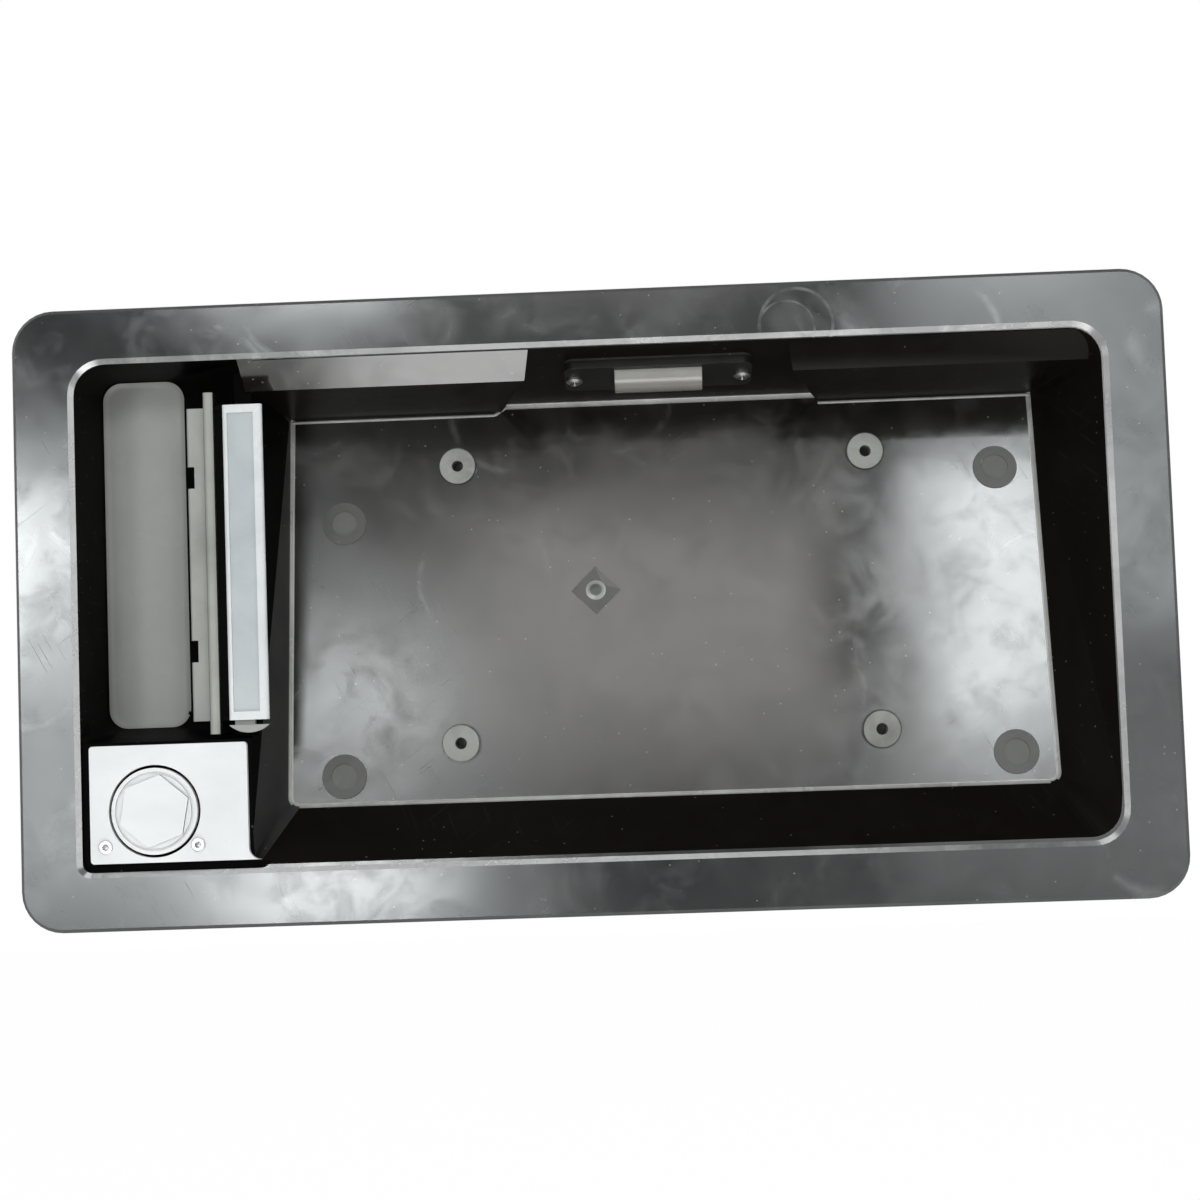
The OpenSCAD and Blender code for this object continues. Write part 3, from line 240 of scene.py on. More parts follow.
# %% [markdown]
# ## Shared surface effects
# Grain, scratches, specks, smudges and pale rounded edges, part wear and part painted highlight, are on
# nearly every piece, each at its own strength.
# A shader node group holds one effect, with named inputs, so a material only says how much of it it wants.
# Painted image maps would tie the look to one layout; noise on Object coordinates fits any piece.

# %% Effect helpers
def effect(name, inputs, output):
    tree = bpy.data.node_groups.new(name, "ShaderNodeTree")
    for label, value in inputs.items():
        socket = tree.interface.new_socket(label, in_out="INPUT", socket_type="NodeSocketFloat")
        socket.default_value = value
    tree.interface.new_socket(output, in_out="OUTPUT", socket_type="NodeSocketFloat")
    return tree, put(tree, "NodeGroupInput").outputs, put(tree, "NodeGroupOutput").inputs[0]


def place_on_object(tree):
    return put(tree, "ShaderNodeTexCoord").outputs["Object"]


def noise_on(tree, place=None, **inputs):
    place = place or place_on_object(tree)
    return put(tree, "ShaderNodeTexNoise", {"Vector": place, **inputs}).outputs[0]


def cells_on(tree, scale):
    return put(tree, "ShaderNodeTexVoronoi", {"Vector": place_on_object(tree), "Scale": scale}).outputs


# %% Fine moulded grain and slow waves that bend mirror images, as heights
grain, given, result = effect("moulded_grain", {"Scale": 1500.0}, "Height")
grain.links.new(noise_on(grain, Scale=given["Scale"], Detail=2.0, Roughness=0.6), result)

waves, given, result = effect("moulded_waves", {"Scale": 14.0}, "Height")
waves.links.new(noise_on(waves, Scale=given["Scale"], Detail=2.0), result)

# %% Soft smudges and handling haze, as a mask
smudges, given, result = effect("smudges", {"Scale": 14.0, "Low": 0.42, "High": 0.72}, "Mask")
noise = noise_on(smudges, Scale=given["Scale"], Detail=5.0, Roughness=0.62, Distortion=0.6)
smudges.links.new(span(smudges, noise, given["Low"], given["High"]), result)

# %% Hairline scratches in two directions, as a mask
SCRATCH_WAYS = ((0.5, 60.0), (-0.95, 80.0))
SCRATCH_EDGE, SCRATCHED_PATCH = 0.05, (0.50, 0.64)
scratches, given, result = effect("hairline_scratches", {"Scale": 60.0, "Cut": 0.66}, "Mask")
masks = []
for angle, across in SCRATCH_WAYS:
    turned = put(scratches, "ShaderNodeVectorRotate", {"Vector": place_on_object(scratches), "Angle": angle},
                 rotation_type="Y_AXIS")
    drawn = put(scratches, "ShaderNodeMapping", {"Vector": turned.outputs[0], "Scale": (across, 1.0, 1.0)})
    noise = noise_on(scratches, drawn.outputs[0], Scale=given["Scale"], Detail=1.0)
    masks.append(span(scratches, maths(scratches, "SUBTRACT", noise, given["Cut"]), 0.0, SCRATCH_EDGE))
both = maths(scratches, "MAXIMUM", masks[0], masks[1])
some = span(scratches, noise_on(scratches, Scale=11.0, Detail=2.0), *SCRATCHED_PATCH)
scratches.links.new(maths(scratches, "MULTIPLY", both, some), result)

# %% Pale specks of dust and grit, as a mask
specks, given, result = effect("dust_specks", {"Scale": 220.0, "Size": 0.10, "Share": 0.5}, "Mask")
cells = cells_on(specks, given["Scale"])
dot = maths(specks, "LESS_THAN", cells["Distance"], given["Size"])
pick = put(specks, "ShaderNodeSeparateColor", {0: cells["Color"]})
some = maths(specks, "LESS_THAN", pick.outputs[0], given["Share"])
specks.links.new(maths(specks, "MULTIPLY", dot, some), result)

# %% Curved scuffs, as a mask: rings round random points, kept only in patches
ARC_RADIUS, ARC_PATCH = 0.42, (0.50, 0.66)
scuffs, given, result = effect("scuff_arcs", {"Scale": 15.0, "Width": 0.035}, "Mask")
cells = cells_on(scuffs, given["Scale"])
off_ring = maths(scuffs, "ABSOLUTE", maths(scuffs, "SUBTRACT", cells["Distance"], ARC_RADIUS))
ring_line = span(scuffs, maths(scuffs, "DIVIDE", off_ring, given["Width"]), 0.0, 1.0, 1.0, 0.0)
some = span(scuffs, noise_on(scuffs, Scale=34.0, Detail=4.0), *ARC_PATCH)
scuffs.links.new(maths(scuffs, "MULTIPLY", ring_line, some), result)

# %% One broken ring scuff at a named place, as a mask
RING_EDGE, RING_PATCH = 0.4, (0.38, 0.60)
ring_sizes = {"X": 0.0, "Z": 0.0, "Radius": 0.015, "Width": 0.0006}
ring_scuff, given, result = effect("ring_scuff", ring_sizes, "Mask")
spot = put(ring_scuff, "ShaderNodeSeparateXYZ", {0: place_on_object(ring_scuff)}).outputs
flat = put(ring_scuff, "ShaderNodeCombineXYZ", {0: spot["X"], 2: spot["Z"]}).outputs[0]
centre = put(ring_scuff, "ShaderNodeCombineXYZ", {0: given["X"], 2: given["Z"]}).outputs[0]
away = put(ring_scuff, "ShaderNodeVectorMath", {0: flat, 1: centre}, operation="DISTANCE").outputs["Value"]
off_ring = maths(ring_scuff, "ABSOLUTE", maths(ring_scuff, "SUBTRACT", away, given["Radius"]))
share = maths(ring_scuff, "DIVIDE", off_ring, given["Width"])
ring_line = span(ring_scuff, share, RING_EDGE, 1.0, 1.0, 0.0)
some = span(ring_scuff, noise_on(ring_scuff, Scale=90.0, Detail=3.0), *RING_PATCH)
ring_scuff.links.new(maths(ring_scuff, "MULTIPLY", ring_line, some), result)

# %% Wear and a painted highlight on the rounded edges, as a mask
WEAR_BREAKS = (0.35, 0.65)
edge_wear_and_highlight, given, result = effect("edge_wear_and_highlight_mask", {"Scale": 90.0, "Even": 0.55}, "Mask")
edge = put(edge_wear_and_highlight, "ShaderNodeAttribute", attribute_name="edge")
broken = span(edge_wear_and_highlight, noise_on(edge_wear_and_highlight, Scale=given["Scale"], Detail=4.0), *WEAR_BREAKS)
kept = maths(edge_wear_and_highlight, "MAXIMUM", broken, given["Even"])
edge_wear_and_highlight.links.new(maths(edge_wear_and_highlight, "MULTIPLY", edge.outputs["Fac"], kept), result)
print("effects", [g.name for g in bpy.data.node_groups])


# %% [markdown]
# ## Finishes
# Every finish starts from a Principled BSDF. Constants sit on its own sockets, and only what changes
# over the surface is wired in: colour, roughness and the normal. Wiring constants too would hide what varies.

# %% Finish helpers
def new_finish(name, **constants):
    finish = bpy.data.materials.new(name)
    finish.use_nodes = True
    shader = finish.node_tree.nodes["Principled BSDF"]
    for key, value in constants.items():
        shader.inputs[key.replace("_", " ")].default_value = value
    return finish, finish.node_tree, shader


def use(tree, group, **values):
    made = put(tree, "ShaderNodeGroup")
    made.node_tree = group
    for key, value in values.items():
        made.inputs[key].default_value = value
    return made.outputs[0]


def weaker(tree, mask, share):
    return maths(tree, "MULTIPLY", mask, share)


def bump(tree, shader, height, strength, distance, under=None):
    made = put(tree, "ShaderNodeBump", {"Strength": strength, "Distance": distance, "Height": height})
    if under:
        tree.links.new(under, made.inputs["Normal"])
    tree.links.new(made.outputs["Normal"], shader.inputs["Normal"])
    return made.outputs["Normal"]


def colour(tree, shader, socket):
    tree.links.new(socket, shader.inputs["Base Color"])


def roughness(tree, shader, socket):
    tree.links.new(socket, shader.inputs["Roughness"])


# %% [markdown]
# ## Black moulded plastic
# The housing is one injection moulding: semi-gloss on the flange, dulled by handling and dust in the plate
# pocket, and matt on the finger pocket's floor. One recipe with different strengths makes them all, where a
# material of its own for each would soon drift apart. A low index takes the sheen off walls seen at a slant.

# %% Black plastic recipe
SCRATCH_TONE, SPECK_TONE = (0.20, 0.20, 0.20, 1), (0.36, 0.34, 0.31, 1)
EDGE_WEAR_AND_HIGHLIGHT_TONE, SCUFF_TONE = (0.05, 0.05, 0.05, 1), (0.30, 0.305, 0.305, 1)
SPECK_SHARE, EDGE_WEAR_AND_HIGHLIGHT_SHARE, BLOTCH_HAZE = 0.5, 0.5, 0.6
WAVE_DEPTH, GRAIN_STRENGTH = 0.0002, 0.25


def black_plastic(name, tone, dusty, shine, haze, dust, level=0.95, scratch=0.05, scuff=0.0,
                  grain_depth=0.00002, index=1.5, rings=()):
    finish, tree, shader = new_finish(name, IOR=index, Specular_IOR_Level=level)
    smudge = use(tree, smudges, Scale=16.0)
    blotch = use(tree, smudges, Scale=52.0, Low=0.46, High=0.72)
    cloud = use(tree, smudges, Scale=5.0, Low=0.38, High=0.66)
    fine = weaker(tree, use(tree, scratches, Scale=26.0, Cut=0.70), scratch)
    rubbed = use(tree, scuffs)
    for spot in rings:
        rubbed = maths(tree, "MAXIMUM", rubbed, use(tree, ring_scuff, **spot))
    rubbed = weaker(tree, rubbed, scuff)
    speck = weaker(tree, use(tree, specks, Scale=260.0, Size=0.09, Share=0.25), SPECK_SHARE * dust)
    # Rounded edges are paled, part wear and part a painted highlight.
    worn_and_highlighted = weaker(tree, use(tree, edge_wear_and_highlight, Scale=70.0, Even=0.4), EDGE_WEAR_AND_HIGHLIGHT_SHARE)
    film = weaker(tree, maths(tree, "MAXIMUM", smudge, blotch), dust)
    base = blend(tree, film, (*tone, 1), (*dusty, 1))
    for mask, shade in ((fine, SCRATCH_TONE), (rubbed, SCUFF_TONE), (speck, SPECK_TONE), (worn_and_highlighted, EDGE_WEAR_AND_HIGHLIGHT_TONE)):
        base = blend(tree, mask, base, shade)
    colour(tree, shader, base)
    hazy = maths(tree, "ADD", weaker(tree, cloud, haze), weaker(tree, blotch, BLOTCH_HAZE * haze))
    roughness(tree, shader, maths(tree, "ADD", maths(tree, "ADD", hazy, fine), shine))
    wavy = bump(tree, shader, use(tree, waves, Scale=14.0), strength=1.0, distance=WAVE_DEPTH)
    grained = use(tree, grain, Scale=1400.0)
    bump(tree, shader, grained, strength=GRAIN_STRENGTH, distance=grain_depth, under=wavy)
    return finish


# %% Black plastics of the housing's large faces
TOP_SCUFFS = ({"X": 0.087, "Z": 0.1095, "Radius": 0.015, "Width": 0.0009},
              {"X": 0.083, "Z": 0.1080, "Radius": 0.0115, "Width": 0.0006})
flange_black = black_plastic(
    "flange_black", tone=(0.010, 0.0108, 0.0112), dusty=(0.036, 0.038, 0.038), shine=0.09, haze=0.13,
    dust=0.8, scratch=0.08, scuff=0.35, grain_depth=0.000006, rings=TOP_SCUFFS)
pocket_black = black_plastic(
    "pocket_black", tone=(0.0060, 0.0052, 0.0048), dusty=(0.026, 0.0235, 0.0205), shine=0.11, haze=0.12,
    dust=0.9, scratch=0.07, scuff=0.20, grain_depth=0.000008)
wall_black = black_plastic(
    "wall_black", tone=(0.0050, 0.0036, 0.0030), dusty=(0.0085, 0.0068, 0.0058), shine=0.30, haze=0.08,
    dust=0.6, level=0.5, index=1.16)
# Near-black with almost no sheen, a painted shade for gaps, grooves and the finger pocket's walls.
painted_shade_black = black_plastic(
    "painted_shade_black", tone=(0.0022, 0.0021, 0.0020), dusty=(0.0040, 0.0038, 0.0036), shine=0.40, haze=0.08,
    dust=0.5, level=0.3, index=1.08)
# The back is painted a lighter black than the front, painted light that lets its shapes read.
back_black_lightened = black_plastic(
    "back_black_lightened", tone=(0.018, 0.018, 0.018), dusty=(0.040, 0.039, 0.037), shine=0.36, haze=0.10, dust=0.8,
    level=0.5)
finger_grey = black_plastic(
    "finger_grey", tone=(0.36, 0.358, 0.342), dusty=(0.42, 0.418, 0.40), shine=0.45, haze=0.08, dust=0.6,
    level=0.5, grain_depth=0.00006)

# %% Plastics of the marks, the painted highlights on the rim and the pale lines, and the lamp's base
mark_grey = black_plastic(
    "mark_grey", tone=(0.095, 0.095, 0.090), dusty=(0.150, 0.149, 0.140), shine=0.42, haze=0.10, dust=0.9,
    level=0.6, grain_depth=0.00003)
ring_black = black_plastic(
    "ring_black", tone=(0.055, 0.055, 0.051), dusty=(0.105, 0.104, 0.097), shine=0.36, haze=0.10, dust=0.9,
    level=0.6, grain_depth=0.00003)
# The pale lines on the floor's fillet, the gate's slanted facets and the beads are a painted highlight on
# black plastic.
highlight_line_grey = black_plastic(
    "highlight_line_grey", tone=(0.24, 0.24, 0.225), dusty=(0.42, 0.42, 0.40), shine=0.20, haze=0.10, dust=1.0,
    level=0.9, grain_depth=0.00001)
# The rim chamfer's grey is a painted highlight on black plastic.
rim_highlight_grey = black_plastic(
    "rim_highlight_grey", tone=(0.085, 0.088, 0.088), dusty=(0.25, 0.25, 0.245), shine=0.18, haze=0.10, dust=1.0,
    level=0.9, grain_depth=0.00001, index=2.0)
trim_black = black_plastic(
    "trim_black", tone=(0.008, 0.0075, 0.007), dusty=(0.018, 0.017, 0.015), shine=0.26, haze=0.15, dust=0.5,
    level=0.6, scratch=0.10, grain_depth=0.00003, index=1.3)
print("plastics", len(bpy.data.materials))


# %% [markdown]
# ## Metals
# The fasteners are zinc-plated steel, the crank is yellow-passivated and the lamp's terminals are brass.
# Clouds, hairlines and bare edges keep the plating from looking like a mirror, which plain metal would.

# %% Metal recipe
HAIRLINE_SHADE = 0.8
BARE_METAL, BARE_SHARE = (0.93, 0.93, 0.93, 1), 0.7
HAIRLINE_DULL = 0.12
FINE_GRAIN = 0.00002


def shaded(tone):
    return (*[HAIRLINE_SHADE * v for v in tone], 1)


def metal(name, light, dark, shine, haze, brushed):
    finish, tree, shader = new_finish(name, Metallic=1.0)
    cloud = use(tree, smudges, Scale=24.0, Low=0.35, High=0.75)
    fine = use(tree, scratches, Scale=120.0, Cut=0.62)
    worn_and_highlighted = use(tree, edge_wear_and_highlight, Scale=120.0, Even=0.7)
    base = blend(tree, cloud, (*light, 1), (*dark, 1))
    base = blend(tree, weaker(tree, fine, brushed), base, shaded(dark))
    base = blend(tree, weaker(tree, worn_and_highlighted, BARE_SHARE), base, BARE_METAL)
    colour(tree, shader, base)
    rough = maths(tree, "MULTIPLY_ADD", cloud, haze)
    rough.node.inputs[2].default_value = shine
    roughness(tree, shader, maths(tree, "ADD", rough, weaker(tree, fine, HAIRLINE_DULL)))
    bump(tree, shader, use(tree, grain, Scale=900.0), strength=0.15, distance=FINE_GRAIN)
    return finish


# %% [markdown]
# ## Silver and grey lacquer
# The lock pad and the handle's face are bright lacquered pieces whose paler edges are a painted highlight
# along the rounded edges. Bare metal would mirror the dim studio and turn dark, so the recipe is a pale paint
# with a soft sheen.

# %% Lacquer recipe
GRIT_TONE, GRIT_SHARE = (0.30, 0.30, 0.30, 1), 0.4
HAIRLINE_SHARE, CLOUD_DULL = 0.25, 0.10


def lacquer(name, tone, streak, shine, edge_highlight_tone):
    finish, tree, shader = new_finish(name)
    cloud = use(tree, smudges, Scale=18.0, Low=0.35, High=0.75)
    fine = use(tree, scratches, Scale=90.0, Cut=0.66)
    worn_and_highlighted = use(tree, edge_wear_and_highlight, Scale=120.0, Even=0.8)
    speck = use(tree, specks, Scale=500.0, Size=0.10, Share=0.12)
    base = blend(tree, cloud, (*tone, 1), (*streak, 1))
    base = blend(tree, weaker(tree, fine, HAIRLINE_SHARE), base, shaded(streak))
    base = blend(tree, weaker(tree, speck, GRIT_SHARE), base, GRIT_TONE)
    # The edges take a paler tone, a painted highlight.
    base = blend(tree, worn_and_highlighted, base, (*edge_highlight_tone, 1))
    colour(tree, shader, base)
    roughness(tree, shader, span(tree, cloud, 0.0, 1.0, shine, shine + CLOUD_DULL))
    bump(tree, shader, use(tree, grain, Scale=1200.0), strength=0.12, distance=FINE_GRAIN)
    return finish


# %% Lacquers and metals
pad_silver = lacquer("pad_silver", tone=(0.72, 0.725, 0.72), streak=(0.63, 0.63, 0.64), shine=0.34,
                     edge_highlight_tone=(0.80, 0.80, 0.80))
panel_grey = lacquer("panel_grey", tone=(0.46, 0.49, 0.50), streak=(0.32, 0.35, 0.37), shine=0.28,
                     edge_highlight_tone=(0.68, 0.70, 0.70))
rim_silver = lacquer("rim_silver", tone=(0.68, 0.69, 0.69), streak=(0.52, 0.53, 0.53), shine=0.24,
                     edge_highlight_tone=(0.80, 0.80, 0.80))
paddle_grey = lacquer("paddle_grey", tone=(0.33, 0.33, 0.305), streak=(0.22, 0.22, 0.205), shine=0.34,
                      edge_highlight_tone=(0.46, 0.45, 0.42))
zinc = metal("zinc_plated", light=(0.62, 0.63, 0.65), dark=(0.46, 0.47, 0.49), shine=0.28, haze=0.18,
             brushed=0.3)
dull_zinc = metal("dull_zinc", light=(0.30, 0.30, 0.29), dark=(0.18, 0.18, 0.17), shine=0.40, haze=0.18,
                  brushed=0.3)
passivated = metal("yellow_passivated", light=(0.66, 0.56, 0.30), dark=(0.50, 0.44, 0.34), shine=0.32,
                   haze=0.16, brushed=0.3)
brass = metal("terminal_brass", light=(0.72, 0.54, 0.24), dark=(0.55, 0.40, 0.19), shine=0.26, haze=0.15,
              brushed=0.3)
print("plastics, lacquers and metals", len(bpy.data.materials))


# %% [markdown]
# ## Nylon, rubber and foam
# The small pieces behind the housing each have their own plain material with a little grain and dust.
# They are hardly seen, so one short recipe is enough.

# %% Dull finishes
DUST_TONE, DUST_SHARE, DUST_DULL = (0.4, 0.38, 0.35, 1), 0.3, 0.15


def dull(name, tone, dusty, shine, grain_scale, grain_depth, strength=0.4):
    finish, tree, shader = new_finish(name)
    cloud = use(tree, smudges, Scale=40.0)
    speck = use(tree, specks, Scale=420.0, Size=0.12, Share=0.3)
    base = blend(tree, cloud, (*tone, 1), (*dusty, 1))
    base = blend(tree, weaker(tree, speck, DUST_SHARE), base, DUST_TONE)
    colour(tree, shader, base)
    roughness(tree, shader, span(tree, cloud, 0.0, 1.0, shine, min(1.0, shine + DUST_DULL)))
    bump(tree, shader, use(tree, grain, Scale=grain_scale), strength, grain_depth)
    return finish


dark_nylon = dull("dark_nylon", tone=(0.10, 0.098, 0.095), dusty=(0.16, 0.155, 0.15), shine=0.42,
                  grain_scale=1800.0, grain_depth=0.00004)
white_nylon = dull("white_nylon", tone=(0.74, 0.71, 0.62), dusty=(0.62, 0.59, 0.50), shine=0.45,
                   grain_scale=1500.0, grain_depth=0.00003)
aged_nylon = dull("aged_nylon", tone=(0.29, 0.288, 0.27), dusty=(0.17, 0.168, 0.155), shine=0.40,
                  grain_scale=1500.0, grain_depth=0.00003)
rubber = dull("stop_rubber", tone=(0.015, 0.015, 0.015), dusty=(0.035, 0.034, 0.033), shine=0.62,
              grain_scale=1100.0, grain_depth=0.00006)
foam = dull("seal_foam", tone=(0.022, 0.022, 0.023), dusty=(0.05, 0.05, 0.05), shine=0.85,
            grain_scale=750.0, grain_depth=0.0004, strength=0.9)
seal = dull("holder_seal", tone=(0.11, 0.06, 0.04), dusty=(0.16, 0.10, 0.07), shine=0.6,
            grain_scale=1200.0, grain_depth=0.00005)

# %% [markdown]
# ## Clear plastic and glass
# The lens is hazy clear plastic with light painted on it: painted shade dark below and a painted highlight
# pale above. The gradient follows the height on the part, which is steadier than leaving it to what happens
# to shine through.

# %% Clear finishes
LENS_LOW, LENS_HIGH = 0.0815, 0.0925
LENS_SHADE, LENS_HIGHLIGHT = (0.05, 0.042, 0.035, 1), (0.42, 0.41, 0.38, 1)
LENS_HAZE, LENS_HAZE_SHARE = (0.30, 0.28, 0.25, 1), 0.4
LENS_ROUGH, GLASS_ROUGH = (0.10, 0.26), (0.05, 0.15)
clear, tree, shader = new_finish("clear_plastic", Transmission_Weight=0.4, IOR=1.49)
haze_mask = use(tree, smudges, Scale=60.0)
height = put(tree, "ShaderNodeSeparateXYZ", {0: place_on_object(tree)}).outputs["Z"]
# Painted light: darker low on the lens, paler high up.
tint = blend(tree, span(tree, height, LENS_LOW, LENS_HIGH), LENS_SHADE, LENS_HIGHLIGHT)
colour(tree, shader, blend(tree, weaker(tree, haze_mask, LENS_HAZE_SHARE), tint, LENS_HAZE))
roughness(tree, shader, span(tree, haze_mask, 0.0, 1.0, *LENS_ROUGH))

GLASS_CLEAN, GLASS_DUSTY = (0.97, 0.97, 0.95, 1), (0.90, 0.89, 0.85, 1)
glass, tree, shader = new_finish("bulb_glass", Transmission_Weight=0.9, IOR=1.5)
haze_mask = use(tree, smudges, Scale=90.0)
colour(tree, shader, blend(tree, haze_mask, GLASS_CLEAN, GLASS_DUSTY))
roughness(tree, shader, span(tree, haze_mask, 0.0, 1.0, *GLASS_ROUGH))
print("finishes", len(bpy.data.materials))


# %% [markdown]
# ## Rounding the CAD solids
# A moulded or pressed piece has no knife edges, and the bright lines in the picture are light on small radii.
# The CAD mesh is loose triangles, so a copy is merged, its flat triangles are joined, and a Bevel modifier
# rounds what is sharper than its limit. The bevel's own faces get an attribute named edge, which the edge
# wear and painted highlight effect reads. The copy stands for the CAD node, which stays as it is for
# collision.

# %% Merged copies
SHARP = math.radians(42)
JOIN = math.radians(0.4)
SAME_POINT = 2e-6


def evaluated_mesh(piece):
    graph = bpy.context.evaluated_depsgraph_get()
    return bpy.data.meshes.new_from_object(piece.evaluated_get(graph))


def merged(node, join=JOIN):
    shape = bmesh.new()
    shape.from_mesh(nodes[node].data)
    bmesh.ops.remove_doubles(shape, verts=shape.verts, dist=SAME_POINT)
    if join:
        bmesh.ops.dissolve_limit(shape, angle_limit=join, verts=shape.verts, edges=shape.edges)
    mesh = bpy.data.meshes.new(node + "_skin")
    shape.to_mesh(mesh)
    shape.free()
    return mesh


# %% Rounded copies
ROUND_SEGMENTS = 2
FACE_WEIGHT = 60
PLAIN, ROUNDED = range(2)


def rounded_mesh(piece, radius_mm):
    rounder = piece.modifiers.new("rounder", "BEVEL")
    rounder.limit_method = "ANGLE"
    rounder.angle_limit = SHARP
    rounder.width = radius_mm * MM
    rounder.segments = ROUND_SEGMENTS
    rounder.material = ROUNDED
    rounder.use_clamp_overlap = True
    mesh = evaluated_mesh(piece)
    piece.modifiers.clear()
    tag = mesh.attributes.new("edge", "FLOAT", "FACE")
    tag.data.foreach_set("value", [float(p.material_index == ROUNDED) for p in mesh.polygons])
    return mesh


def rounded(node, radius_mm, body, slot, *finishes, join=JOIN):
    mesh = merged(node, join)
    mesh.materials.append(finishes[0])
    mesh.materials.append(finishes[0])
    for polygon in mesh.polygons:
        polygon.material_index = PLAIN
    piece = link(bpy.data.objects.new(node + "_skin", mesh))
    round_mesh = rounded_mesh(piece, radius_mm)
    piece.data = round_mesh
    round_mesh.materials.clear()
    for finish in finishes:
        round_mesh.materials.append(finish)
    for polygon in round_mesh.polygons:
        polygon.material_index = 0
        polygon.use_smooth = True
    round_mesh.set_sharp_from_angle(angle=SHARP)
    weighted = piece.modifiers.new("even_shading", "WEIGHTED_NORMAL")
    weighted.keep_sharp = True
    weighted.weight = FACE_WEIGHT
    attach(piece, body)
    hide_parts(node)
    print(node, "faces", len(round_mesh.polygons))
    return piece


def keep_edges_sharp(mesh, wanted):
    edge_of = {edge.key: edge for edge in mesh.edges}
    for polygon in mesh.polygons:
        if wanted(polygon):
            for key in polygon.edge_keys:
                edge_of[key].use_edge_sharp = True


# %% [markdown]
# ## The housing's finishes
# The flange and the plate floor keep the moulding's gloss, the walls are dull and dusty, the finger pocket's
# floor is pale and matt, and the back is painted a lighter black as painted light. Gaps, the crest and the
# finger pocket's walls take painted shade, and the rim chamfer, the floor's fillet and the gate's facets
# painted highlights.
# Faces are sorted by where their centre lies and which way they look, which is simpler than painting masks.

# %% Places on the housing
FLANGE_BACK = -0.0035
RIM_X, RIM_Z = (0.2085, 0.2138), (-0.1065, -0.1010, 0.1020, 0.1075)
FINGER_RIGHT, FINGER_FLOOR = -0.150, 0.030
PAD_TOP, PAD_DEEP = -0.045, -0.001
FLOOR_AT, FLOOR_LEAN = 0.0425, math.radians(10)
FLOOR_TILT = math.tan(FLOOR_LEAN)
FLOOR_NORMAL = Vector((0.0, -math.cos(FLOOR_LEAN), math.sin(FLOOR_LEAN)))
NEAR_FLOOR, OFF_FLOOR, UNDER_FLOOR = (-0.0008, 0.003), 0.0001, -0.0003
FILLET = 0.004
MARKS = ((0.175, 0.0548), (0.175, -0.068), (-0.1085, 0.0402), (-0.1085, -0.069))
MARK_RADIUS = 0.0104
GATE, GATE_DIMPLE = (0.00025, 0.007), 0.0020
BROW_LOW, BROW_LEFT, BROW_RIGHT, BROW_DEEP = 0.0900, -0.135, -0.020, 0.009
CREST_X, CREST_DEEP = (-0.153, -0.130), 0.012
LEFT_WALL = -0.128
FINGER_MIDDLE, PLATE_MIDDLE = Vector((-0.192, 0.012, 0.028)), Vector((0.030, 0.015, 0.0))
# How far a face looks to the front, from 0 for sideways to 1
FACING, BROW_FACING, CREST_FACING, FLOOR_FACING = 0.6, 0.3, 0.05, -0.1
SLANTED, LINE_LEAN = (0.35, 0.95), (0.40, 0.97)

# %% Sort the housing's faces
FLANGE, GLOSS, FINGER, MARK, WALL, PAINTED_SHADE, BACK, LINE, RIM, RING = range(10)


def flange_finish(polygon):
    x, z = polygon.center.x, polygon.center.z
    within = abs(x) < RIM_X[1] and RIM_Z[0] < z < RIM_Z[3]
    at_edge = abs(x) > RIM_X[0] or z < RIM_Z[1] or z > RIM_Z[2]
    # Slanted faces at the opening's edge take the painted highlight grey.
    if within and SLANTED[0] < -polygon.normal.y < SLANTED[1]:
        return RIM if at_edge else WALL
    return FLANGE


def finger_finish(polygon):
    y, z = polygon.center.y, polygon.center.z
    if y > FINGER_FLOOR and -polygon.normal.y > FACING:
        return FINGER
    # Front faces below the pad's top take painted shade.
    if z < PAD_TOP and y < PAD_DEEP and -polygon.normal.y > FACING:
        return PAINTED_SHADE
    return None


def mark_finish(polygon, lift, leaning):
    x, z = polygon.center.x, polygon.center.z
    if not NEAR_FLOOR[0] < lift < NEAR_FLOOR[1]:
        return None
    if any(math.hypot(x - mark_x, z - mark_z) < MARK_RADIUS for mark_x, mark_z in MARKS):
        return RING if lift > OFF_FLOOR else MARK
    from_gate = math.hypot(x - GATE[0], z - GATE[1])
    if from_gate < GATE_DIMPLE:
        return RING
    if from_gate < MARK_RADIUS:
        # The gate's slanted facets take the pale grey of a painted highlight.
        return MARK if leaning > LINE_LEAN[1] else LINE
    return None


def plate_floor_finish(polygon, lift, leaning):
    # Fillet faces round the floor take the pale grey of a painted highlight.
    if OFF_FLOOR < lift < FILLET and LINE_LEAN[0] < leaning < LINE_LEAN[1]:
        return LINE
    if UNDER_FLOOR < lift < FILLET and -polygon.normal.y > FLOOR_FACING:
        return GLOSS
    return None


def wall_finish(polygon, in_finger):
    x, y, z = polygon.center
    facing = -polygon.normal.y
    middle = FINGER_MIDDLE if in_finger else PLATE_MIDDLE
    if BROW_LOW < z and BROW_LEFT < x < BROW_RIGHT and y < BROW_DEEP and facing > BROW_FACING:
        return GLOSS
    # The crest by the handle takes painted shade.
    if CREST_X[0] < x < CREST_X[1] and y < CREST_DEEP and facing > CREST_FACING:
        return PAINTED_SHADE
    # Inner walls of the finger pocket take painted shade.
    if polygon.normal.dot(middle - polygon.center) > 0 and not LEFT_WALL > x > FINGER_RIGHT:
        return PAINTED_SHADE if in_finger else WALL
    return BACK


